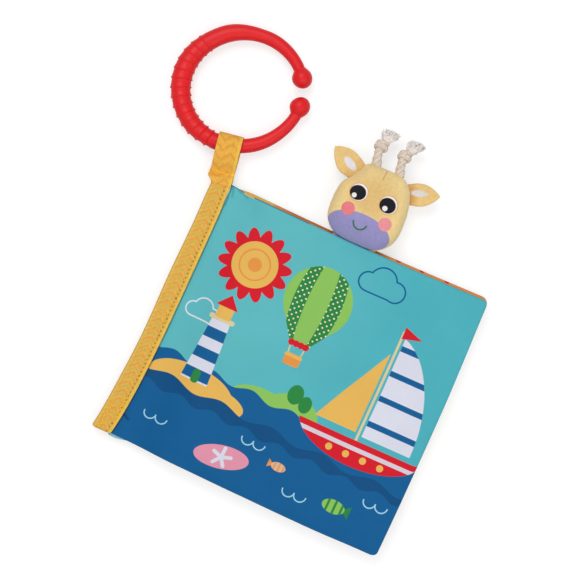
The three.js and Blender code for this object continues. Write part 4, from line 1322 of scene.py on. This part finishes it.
def teething_ring(material):
    """The C of changing thickness with its ribs, its ball ends and the fine line of the mould's parting."""
    tip_reach = RING_BORE_LONG + RING_TIP
    ball_turn = math.degrees(BALL_RADIUS / tip_reach)
    ball = np.sin(np.linspace(np.pi / 2 * 0.985, 0, 16)) * ball_turn
    body = np.linspace(MOUTH_HIGH, MOUTH_END, 900)
    degrees = np.concatenate([MOUTH_HIGH - ball[:-1], body, MOUTH_END + ball[::-1][1:]])
    half = tube_half(degrees) + rib_height(degrees)
    along = np.radians(np.minimum(np.abs(degrees - MOUTH_HIGH), np.abs(degrees - MOUTH_END))) * tip_reach
    ball_half = np.sqrt(np.maximum(0, BALL_RADIUS ** 2 - along ** 2))
    beyond = (degrees < MOUTH_HIGH) | (degrees > MOUTH_END)
    near = np.clip(1 - along / (BALL_EASE * BALL_RADIUS), 0, 1)
    joined = np.maximum(half, ball_half) + 0.35 * np.exp(-((half - ball_half) / 0.8) ** 2) * (~beyond)
    section = np.where(beyond, ball_half, joined)
    roundness = np.clip(near + (RING_THICK - half) / RING_THICK, 0, 1)
    flatness = np.where(beyond | (ball_half > half), 1.0, mix(RING_FLATNESS, 1.0, roundness))
    radius = ring_bore(degrees) + tube_half(degrees) + BALL_SPREAD * smooth_step(near)
    turn = np.radians(degrees)
    outward = np.stack([np.cos(turn), np.sin(turn), 0 * turn], axis=1)
    centre = np.array([RING_X, RING_Y, RING_Z]) + outward * radius[:, None]
    angles = np.linspace(0, math.tau, 56, endpoint=False)
    parting = 0.07 * bell((np.mod(angles + np.pi / 2, np.pi) - np.pi / 2) / 0.07)
    reach = section[:, None] + parting[None, :] * (section[:, None] > 1)
    up = np.array([0, 0, 1.0])
    rows = centre[:, None, :] + (
        outward[:, None, :] * (np.cos(angles) * reach)[:, :, None]
        + up * (np.sin(angles) * reach * flatness[:, None])[:, :, None]
    )
    points, faces = tube(rows)
    piece = new_object("ribbed_teething_ring", points, faces)
    dress(piece, material)
    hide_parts("teething_ring")
    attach(piece, "ring")


# The giraffe head

BROW_SQUARENESS, CHIN_SQUARENESS = 3.0, 3.3
DOME_POWER = 0.86


def head_surface(angle, latitude):
    """A point of the head by direction round it and by latitude: 0 at the seam, 1 in front and -1 behind."""
    squareness = np.where(np.sin(angle) > 0, BROW_SQUARENESS, CHIN_SQUARENESS)
    rise = signed_power(np.sin(angle), 2 / squareness)
    spread = signed_power(np.cos(angle), 2 / squareness)
    x = HEAD_WIDTH / 2 * spread * (1 - 0.03 * rise - 0.035 * np.sin(np.pi * np.clip(rise, 0, 1)))
    y = HEAD_HEIGHT / 2 * rise
    turn = np.abs(latitude) * np.pi / 2
    share = np.cos(turn) ** DOME_POWER
    depth = np.where(latitude < 0, HEAD_BACK, HEAD_FRONT)
    bulge = depth * np.sin(turn) ** DOME_POWER
    z = HEAD_SEAM_Z + np.sign(latitude) * bulge
    groove = 0.5 * bell(latitude / 0.035)
    at_ear = 3.1 * np.exp(-(((angle - 2.5) / 0.42) ** 4)) + 0.5 * np.exp(-(((angle - 0.6) / 0.42) ** 4))
    pinch = 1 - (groove + at_ear) / 21
    puckers = 0.12 * np.sin(angle * 46) * bell(latitude / 0.12)
    dart = 0.75 * bell((x * share - 0.75) / 0.7) * bell((y * share - 17.9) / 3.6) * (latitude > 0)
    soft = 0.24 * waves(91, 14, 30, 8)(x * share + 40 * latitude, y * share)
    x, y = x * share * pinch, y * share * pinch
    y = y - 0.9 * smooth_step((-y / (HEAD_HEIGHT / 2) - 0.78) / 0.2)
    out = soft + puckers - dart
    z = np.maximum(z + np.sign(latitude) * out * np.sin(turn), 0.02)
    return np.stack([HEAD_X + x * (1 + out / 30), HEAD_Y + y * (1 + out / 30), z], axis=-1)


def head_plush(front, back):
    """The head's skin, with rows of points close together at the seam between its two halves."""
    count = 144
    angles = np.linspace(0, math.tau, count, endpoint=False) + math.tau / count / 2
    by_seam = [-0.08, -0.05, -0.03, -0.015, 0, 0.015, 0.03, 0.05, 0.08]
    latitudes = np.array([*np.linspace(-0.985, -0.12, 22), *by_seam, *np.linspace(0.12, 0.985, 24)])
    rows = head_surface(angles[None, :], latitudes[:, None])
    points, faces = tube(rows[:, ::-1], [HEAD_X, HEAD_Y, 0.02], rows[-1].mean(axis=0) + [0, 0, 0.03])
    points = np.array(points)
    seam_row = int(np.argmin(np.abs(latitudes)))
    row_of = [*(i // count for i in range(len(points) - 2)), 0, len(rows) - 1]
    slots = [0 if max(row_of[i] for i in face) > seam_row else 1 for face in faces]
    piece = new_object("giraffe_head_plush", points, faces, points, slots)
    dress(piece, front, back)
    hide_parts("head_front_fabric", "head_back_fabric")
    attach(piece, "head")


STUFFING_SHARE = 0.92


def head_stuffing(material):
    """The filling inside the plush, in the head's own form."""
    angles = np.linspace(0, math.tau, 48, endpoint=False)
    latitudes = np.linspace(-0.97, 0.97, 30)
    rows = head_surface(angles[None, :], latitudes[:, None])
    middle = np.array([HEAD_X, HEAD_Y, HEAD_SEAM_Z + 1.2])
    rows = middle + (rows - middle) * STUFFING_SHARE
    points, faces = tube(rows[:, ::-1])
    piece = new_object("head_stuffing", points, faces)
    dress(piece, material)
    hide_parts("head_filling")
    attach(piece, "head")


def on_face(x, y, lift):
    """A point above the front of the head at a place seen from the front."""
    high = y > HEAD_Y
    squareness = BROW_SQUARENESS if high else CHIN_SQUARENESS
    rise = (y - HEAD_Y) / (HEAD_HEIGHT / 2)
    reach = (abs((x - HEAD_X) / (HEAD_WIDTH / 2)) ** squareness + abs(rise) ** squareness) ** (1 / squareness)
    share = min(reach, 0.999)
    turn = math.acos(share ** (1 / DOME_POWER))
    return np.array([x, y, HEAD_SEAM_Z + HEAD_FRONT * math.sin(turn) ** DOME_POWER + lift])


SMILE_X, SMILE_Y, SMILE_HALF_WIDTH, SMILE_DROP = -5.0, 86.3, 3.9, 3.95
SMILE_HALF_TURN = math.radians(84)
SMILE_STITCH_LIFT, SMILE_STITCH_RADIUS, SMILE_STITCH_RISE = 0.12, 0.42, 0.26


def smile(material):
    """A chain of small stitches along the smile."""
    threads = Bundle()
    places = []
    for turn in np.linspace(-1, 1, 13) * SMILE_HALF_TURN:
        x = SMILE_X + SMILE_HALF_WIDTH * math.sin(turn)
        places.append(on_face(x, SMILE_Y - SMILE_DROP * math.cos(turn), SMILE_STITCH_LIFT))
    for start, end in zip(places[:-1], places[1:]):
        over = (end - start) * 0.12
        stitch(threads, start - over, end + over, (0, 0, 1), SMILE_STITCH_RADIUS, SMILE_STITCH_RISE)
    piece = threads.piece("embroidered_smile")
    dress(piece, material)
    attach(piece, "head")


# By side, -1 for the left ear and 1 for the right: its rise in degrees, the share of its length where it
# starts inside the head, and how much longer it is
EAR_RISE = {-1: 29, 1: 20}
EAR_START = {-1: -0.3, 1: -0.16}
EAR_EXTRA = {-1: 0, 1: 0.9}
EAR_SEAT_SQUARENESS = 2.6


def ear_frame(side):
    """An ear's root and its directions along and across."""
    rise = math.radians(EAR_RISE[side])
    along = np.array([side * math.cos(rise), math.sin(rise), 0])
    across = np.array([-math.sin(rise) * side, math.cos(rise), 0])
    power = EAR_SEAT_SQUARENESS
    x = HEAD_WIDTH / 2 * (1 - EAR_HEIGHT_SHARE ** power) ** (1 / power) * (1 - 0.03 * EAR_HEIGHT_SHARE)
    root = np.array([HEAD_X + side * x, HEAD_Y + EAR_HEIGHT_SHARE * HEAD_HEIGHT / 2, HEAD_SEAM_Z])
    return root + along * 0.8, along, across


# The upper and the lower edge of each ear: shares of its length, and distances in millimetres
EAR_EDGES = {
    -1: (
        ((-0.3, 0, 0.25, 0.43, 0.57, 0.71, 0.83, 0.92, 1), (7.2, 7.3, 7.2, 6.7, 5.8, 4.4, 2.9, 1.5, 0)),
        ((-0.3, -0.1, 0.08, 0.28, 0.48, 0.67, 0.8, 0.92, 1), (4.6, 5.4, 6.5, 6.6, 5.6, 4.3, 3.0, 1.5, 0)),
    ),
    1: (
        ((-0.3, 0, 0.2, 0.42, 0.57, 0.71, 0.83, 0.92, 1), (5.2, 6.2, 6.6, 6.3, 5.5, 4.2, 2.8, 1.5, 0)),
        ((-0.3, 0, 0.2, 0.42, 0.57, 0.71, 0.83, 0.92, 1), (5.2, 6.0, 6.3, 6.0, 5.2, 3.9, 2.6, 1.4, 0)),
    ),
}


def smooth_edge(share, edge):
    """Distance of the ear's edge from its middle line, by the share of the way to its tip."""
    near = [float(np.interp(min(share + shift, 1.0), *edge)) for shift in (-0.06, -0.03, 0, 0.03, 0.06)]
    return sum(near) / len(near) * (1.0 if share < 0.9 else quarter_round((1 - share) / 0.1))


def cupped_ear(name, side, material):
    """An ear from its root in the head to its tip, hollow in front and full behind."""
    root, along, across = ear_frame(side)
    inner_end = EAR_START[side]
    length = EAR_LENGTH + EAR_EXTRA[side]
    rows, flats = [], []
    for share in np.concatenate([np.linspace(inner_end, 0.9, 34), np.linspace(0.92, 0.998, 6)]):
        upper, lower = (smooth_edge(share, edge) for edge in EAR_EDGES[side])
        inside = float(np.clip(share, 0, 1))
        thick = 1.65 * quarter_round((1 - inside) / 0.625)
        thick = thick * mix(0.75, 1, smooth_step((share - inner_end) / 0.3))
        hollow = math.sin(math.pi * min(max((share + 0.25) / 1.25, 0), 1))
        row, flat = [], []
        for j in range(48):
            angle = math.tau * j / 48
            u = signed_power(math.cos(angle), 1.2)
            v = signed_power(math.sin(angle), 1.1)
            half = upper if u > 0 else lower
            rim = 0.3 * bell((abs(u) - 0.86) / 0.09) * hollow * (v > 0)
            cup = -1.0 * (1 - u * u) ** 1.5 * hollow if v > 0 else 0.3 * v
            point = root + along * length * share + across * half * u
            row.append((point[0], point[1], HEAD_SEAM_Z + thick * v + cup + rim + 0.5 * u * u * hollow))
            flat.append((share * length, half * u, 1.0 if v > 0.05 else -1.0))
        rows.append(row)
        flats.append(flat)
    rows, flats = np.array(rows), np.array(flats)
    if side > 0:
        rows, flats = rows[:, ::-1], flats[:, ::-1]
    points, faces = tube(rows)
    flat = np.concatenate([flats.reshape(-1, 3), [[-4, 0, 0], [length, 0, 0]]])
    piece = new_object(name + "_plush", points, faces, flat)
    dress(piece, material)
    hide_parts(name)
    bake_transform(piece)


def ear_material(name, centre, size, lining, fold):
    """An ear's plush with its printed lining in front; fold is the strength of the shade at its root."""
    p = plush_paint(name, colour(236, 200, 130))
    front = p.math("GREATER_THAN", p.split(p.full_flat)[2], 0.0)
    shade = p.math("MULTIPLY_ADD", p.ellipse(-1.6, -0.6, 4.2, 7.0), -1 / 3.4, 0.5, clamp=True)
    p.colour = p.blend(p.math("MULTIPLY", shade, fold), p.colour, colour(200, 146, 84))
    patch = p.ellipse(*centre, *size)
    inside = p.math("MULTIPLY", p.math("MULTIPLY_ADD", patch, -1 / 0.8, 0.5, clamp=True), front)
    p.colour = p.blend(inside, p.colour, lining)
    return pile(p)


HORN_RUN, HORN_SPREAD, HORN_BOW = HORN_LENGTH + 1.3, 7.0, 2.1
# By side: how far the cord's end leans out in millimetres, and how much its fibres lean
HORN_LEAN = {-1: 3.2, 1: 5.8}
FIBRE_LEAN = {-1: 0.22, 1: 0.36}
# Places along the cord, as shares of its run
STRAND_END, KNOT_PLACE, FRAY_PLACE = 0.78, 0.54, 0.66
STRAND_COUNT, STRAND_RADIUS, STRAND_TWISTS = 3, 1.26, 2.1
KNOT_STRAND_RADIUS, KNOT_STRAND_REACH, KNOT_TWISTS = 0.82, 0.55, 4
# The knot's three turns of cord: tilt, size and height
KNOT_TURNS = (0.42, 2.75, -1.35), (-0.36, 2.6, 0.15), (0.2, 2.45, 1.6)
FIBRE_COUNT, FIBRE_SEED = 330, 300


def horn_middle(side, share):
    """The middle line of a horn's cord, from inside the head to its frayed end."""
    lean = HORN_LEAN[side] * smooth_step((share - 0.46) / 0.54)
    bow = lean - HORN_BOW * np.sin(np.pi * share)
    x = HEAD_X + 0.9 + side * HORN_SPREAD
    foot = HEAD_Y + HEAD_HEIGHT / 2 - 1.0
    return np.stack([x + bow, foot + HORN_RUN * share, HEAD_SEAM_Z + 0 * share], axis=-1)


def twist_strands(threads, side):
    """The strands of a horn's cord, wider and further apart where they come out of the head."""
    shares = np.linspace(0, STRAND_END, 76)
    line = horn_middle(side, shares)
    _, first, second = frames_along(line)
    for k in range(STRAND_COUNT):
        turn = math.tau * (STRAND_TWISTS * shares + k / STRAND_COUNT)
        at_head = smooth_step(1 - shares / 0.3)
        reach = mix(1.2, 0.85, smooth_step((shares - 0.55) / 0.15)) + 0.4 * at_head
        offset = first * (np.cos(turn) * reach)[:, None] + second * (np.sin(turn) * reach)[:, None]
        threads.thread(line + offset, STRAND_RADIUS + 0.3 * at_head, 14)


def tie_knot(threads, centre):
    """Three tilted turns of the cord round its own middle."""
    for k, (tilt, size, high) in enumerate(KNOT_TURNS):
        turn = np.linspace(0, math.tau * 0.985, 44)
        wide = size * (1 + 0.08 * np.sin(3 * turn + k))
        loop = np.stack([
            wide * np.cos(turn), high + wide * tilt * np.sin(turn + 0.5 * k), 0.86 * wide * np.sin(turn),
        ], axis=1)
        for strand in range(STRAND_COUNT):
            spin = turn * KNOT_TWISTS + math.tau * strand / STRAND_COUNT
            outward = loop - [0, high, 0]
            outward = outward / np.linalg.norm(outward, axis=1)[:, None]
            shift = outward * (KNOT_STRAND_REACH * np.cos(spin))[:, None]
            shift[:, 1] += KNOT_STRAND_REACH * np.sin(spin)
            threads.thread(centre + loop + shift, KNOT_STRAND_RADIUS, 9)


def horn_cord(name, side, material):
    """A three-strand cord that comes out of the head and is knotted once."""
    strands = Bundle()
    twist_strands(strands, side)
    tie_knot(strands, horn_middle(side, np.array([KNOT_PLACE]))[0])
    piece = strands.piece(name + "_cord")
    dress(piece, material)
    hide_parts(name + "_rope")
    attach(piece, "head")


def frayed_end(name, side, material):
    """The loose cotton fibres that spread from the cord above its knot."""
    fibres = Bundle()
    rng = np.random.default_rng(FIBRE_SEED + side)
    neck = horn_middle(side, np.array([FRAY_PLACE]))[0]
    heading = np.array([FIBRE_LEAN[side], 1.0, 0.0])
    for _ in range(FIBRE_COUNT):
        around = rng.uniform(0, math.tau)
        spread = rng.uniform(0, 1) ** 0.5
        reach = rng.uniform(0.22, 0.355) * HORN_RUN * (1 - 0.1 * spread)
        steps = np.linspace(0, 1, 8)
        flare = mix(0.5, 1.4, spread) + spread * 3.5 * steps ** 0.85
        curl = rng.uniform(-0.9, 0.9) * np.sin(np.pi * steps * rng.uniform(0.8, 1.8))
        drift = rng.uniform(-0.6, 0.6) * steps
        fibre = neck + heading * (reach * steps)[:, None] + np.stack([
            np.cos(around) * flare + curl, drift - 0.35 * spread * steps ** 2,
            np.sin(around) * flare * 0.85 + curl * 0.6,
        ], axis=1)
        fibres.thread(fibre, np.linspace(0.34, 0.17, 8), 5)
    frayed = fibres.piece(name + "_frayed_end")
    dress(frayed, material)
    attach(frayed, "head")


CHIN_START_Y, CHIN_END_Y = 71.8, 78.6


def chin_tuck(material):
    """The plush under the chin, which runs in between the front cover and the leaf under it."""
    shares = np.linspace(-1, 1, 25)
    rows = []
    for y in np.linspace(CHIN_START_Y, CHIN_END_Y, 14):
        into = smooth_step((y - 75.2) / 2.6)
        wide = mix(12.6, 14.0, into)
        middle = mix(10.3, 10.2, into)
        half = mix(0.22, 0.9, into)
        upper = [(HEAD_X + wide * s, y, middle + half * (1 - s ** 6)) for s in shares]
        lower = [(HEAD_X + wide * s, y, middle - half * (1 - s ** 6) - 0.02) for s in shares[::-1]]
        rows.append(upper + lower)
    points, faces = tube(np.array(rows))
    piece = new_object("chin_tuck", points, faces)
    dress(piece, material)
    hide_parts("neck_ribbon")
    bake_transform(piece)


def inner_layers(film, wadding):
    """The materials of the CAD solids that stay inside the leaves."""
    for name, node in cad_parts.items():
        for ending, material in (("_crinkle_film", film), ("_wadding", wadding)):
            if name.endswith(ending):
                for slot in node.material_slots:
                    slot.material = material


# Surroundings

FLOOR_REACH = 3.0
FLOOR_Z = -0.0002
SKY_LIGHT = 0.42
LAMPS = {
    "key": ((-0.45, 0.55, 1.1), 0.7, 5.9),
    "fill": ((0.7, -0.2, 0.9), 0.8, 2.8),
    "top": ((0.0, -0.5, 1.2), 0.9, 2.5),
}
LAMP_TARGET = Vector((-0.02, 0.03, 0.01))
CAMERA_PLACE = (-0.0231, 0.0363, 0.9078)
CAMERA_TURN = math.radians(24.2)


def placed(name, data, location):
    made = bpy.data.objects.new(name, data)
    made.location = location
    bpy.context.scene.collection.objects.link(made)
    return made


def studio():
    """A pale floor, a sky that is white where it is seen, and three soft lamps. Sizes are in metres."""
    mesh = bpy.data.meshes.new("floor")
    signs = ((-1, -1), (1, -1), (1, 1), (-1, 1))
    corners = [(FLOOR_REACH * x, FLOOR_REACH * y, FLOOR_Z) for x, y in signs]
    mesh.from_pydata(corners, [], [(0, 1, 2, 3)])
    mesh.materials.append(floor_material())
    floor = placed("floor", mesh, (0, 0, 0))
    world = bpy.data.worlds.new("studio")
    world.use_nodes = True
    bpy.context.scene.world = world
    background = world.node_tree.nodes["Background"]
    background.inputs["Color"].default_value = (1, 1, 1, 1)
    level = ranged(world.node_tree, seen_directly(world.node_tree), SKY_LIGHT, 1.0)
    world.node_tree.links.new(level, background.inputs["Strength"])
    for name, (place, size, power) in LAMPS.items():
        lamp = bpy.data.lights.new(name, "AREA")
        lamp.size = size
        lamp.energy = power
        holder = placed(name, lamp, place)
        holder.rotation_euler = (LAMP_TARGET - Vector(place)).to_track_quat("-Z", "Y").to_euler()


def floor_material():
    """Grey to the light, so that it keeps the shadow, and white to the camera further out."""
    material = bpy.data.materials.new("pale_floor")
    material.use_nodes = True
    tree = material.node_tree
    nodes, links = tree.nodes, tree.links
    nodes.remove(nodes["Principled BSDF"])
    diffuse = nodes.new("ShaderNodeBsdfDiffuse")
    diffuse.inputs["Color"].default_value = (0.5, 0.5, 0.5, 1)
    away = nodes.new("ShaderNodeVectorMath")
    away.operation = "LENGTH"
    links.new(nodes.new("ShaderNodeTexCoord").outputs["Object"], away.inputs[0])
    strength = nodes.new("ShaderNodeMath")
    strength.operation = "MULTIPLY"
    links.new(seen_directly(tree), strength.inputs[0])
    links.new(ranged(tree, away.outputs["Value"], 0.6, 1.0, 0.3, 1.3), strength.inputs[1])
    glow = nodes.new("ShaderNodeEmission")
    links.new(strength.outputs[0], glow.inputs["Strength"])
    both = nodes.new("ShaderNodeAddShader")
    links.new(diffuse.outputs[0], both.inputs[0])
    links.new(glow.outputs[0], both.inputs[1])
    links.new(both.outputs[0], nodes["Material Output"].inputs["Surface"])
    return material


def camera():
    data = bpy.data.cameras.new("camera")
    data.lens = 100
    data.sensor_width = 36
    holder = placed("camera", data, CAMERA_PLACE)
    holder.rotation_euler = (0, 0, CAMERA_TURN)
    bpy.context.scene.camera = holder


TAPE_YELLOW, TAPE_OLIVE = colour(238, 190, 86), colour(205, 172, 80)
LOOP_YELLOW, LOOP_AMBER = colour(244, 186, 76), colour(236, 182, 76)
zigzag = tape_material("zigzag_tape", TAPE_YELLOW, TAPE_OLIVE, TAPE_RUN_HALF - 5.7, TAPE_HOLE_ROW)
loop_zigzag = tape_material("zigzag_loop_tape", LOOP_YELLOW, LOOP_AMBER, 2.3, 0)
yellow_thread = thread_material("yellow_thread", colour(248, 198, 56))
camera()
cloth_leaves()
bound_edges(plain_cloth("bound_page_edge", CREAM))
spine_tape(zigzag)
tape_stitching(yellow_thread)
hanging_band(loop_zigzag)
bar_tack(yellow_thread)
teething_ring(ring_material())
face = face_material()
head_plush(face, pile(plush_paint("back_plush", PLUSH)))
smile(thread_material("green_thread", colour(52, 118, 66)))
left_plush = ear_material("left_ear_plush", (2.1, 0.7), (4.5, 2.1), colour(232, 230, 238), 0.2)
right_plush = ear_material("right_ear_plush", (4.0, 1.0), (4.6, 1.85), colour(226, 219, 214), 0.75)
cupped_ear("left_ear", -1, left_plush)
cupped_ear("right_ear", 1, right_plush)
cord = rope_material("cotton_cord", colour(232, 217, 202))
tuft = rope_material("frayed_cotton", colour(252, 246, 240))
for horn, side in (("left_horn", -1), ("right_horn", 1)):
    horn_cord(horn, side, cord)
    frayed_end(horn, side, tuft)
chin_tuck(face)
wadding = wadding_material()
head_stuffing(wadding)
inner_layers(film_material(), wadding)
studio()

bpy.context.scene.view_settings.view_transform = "Standard"
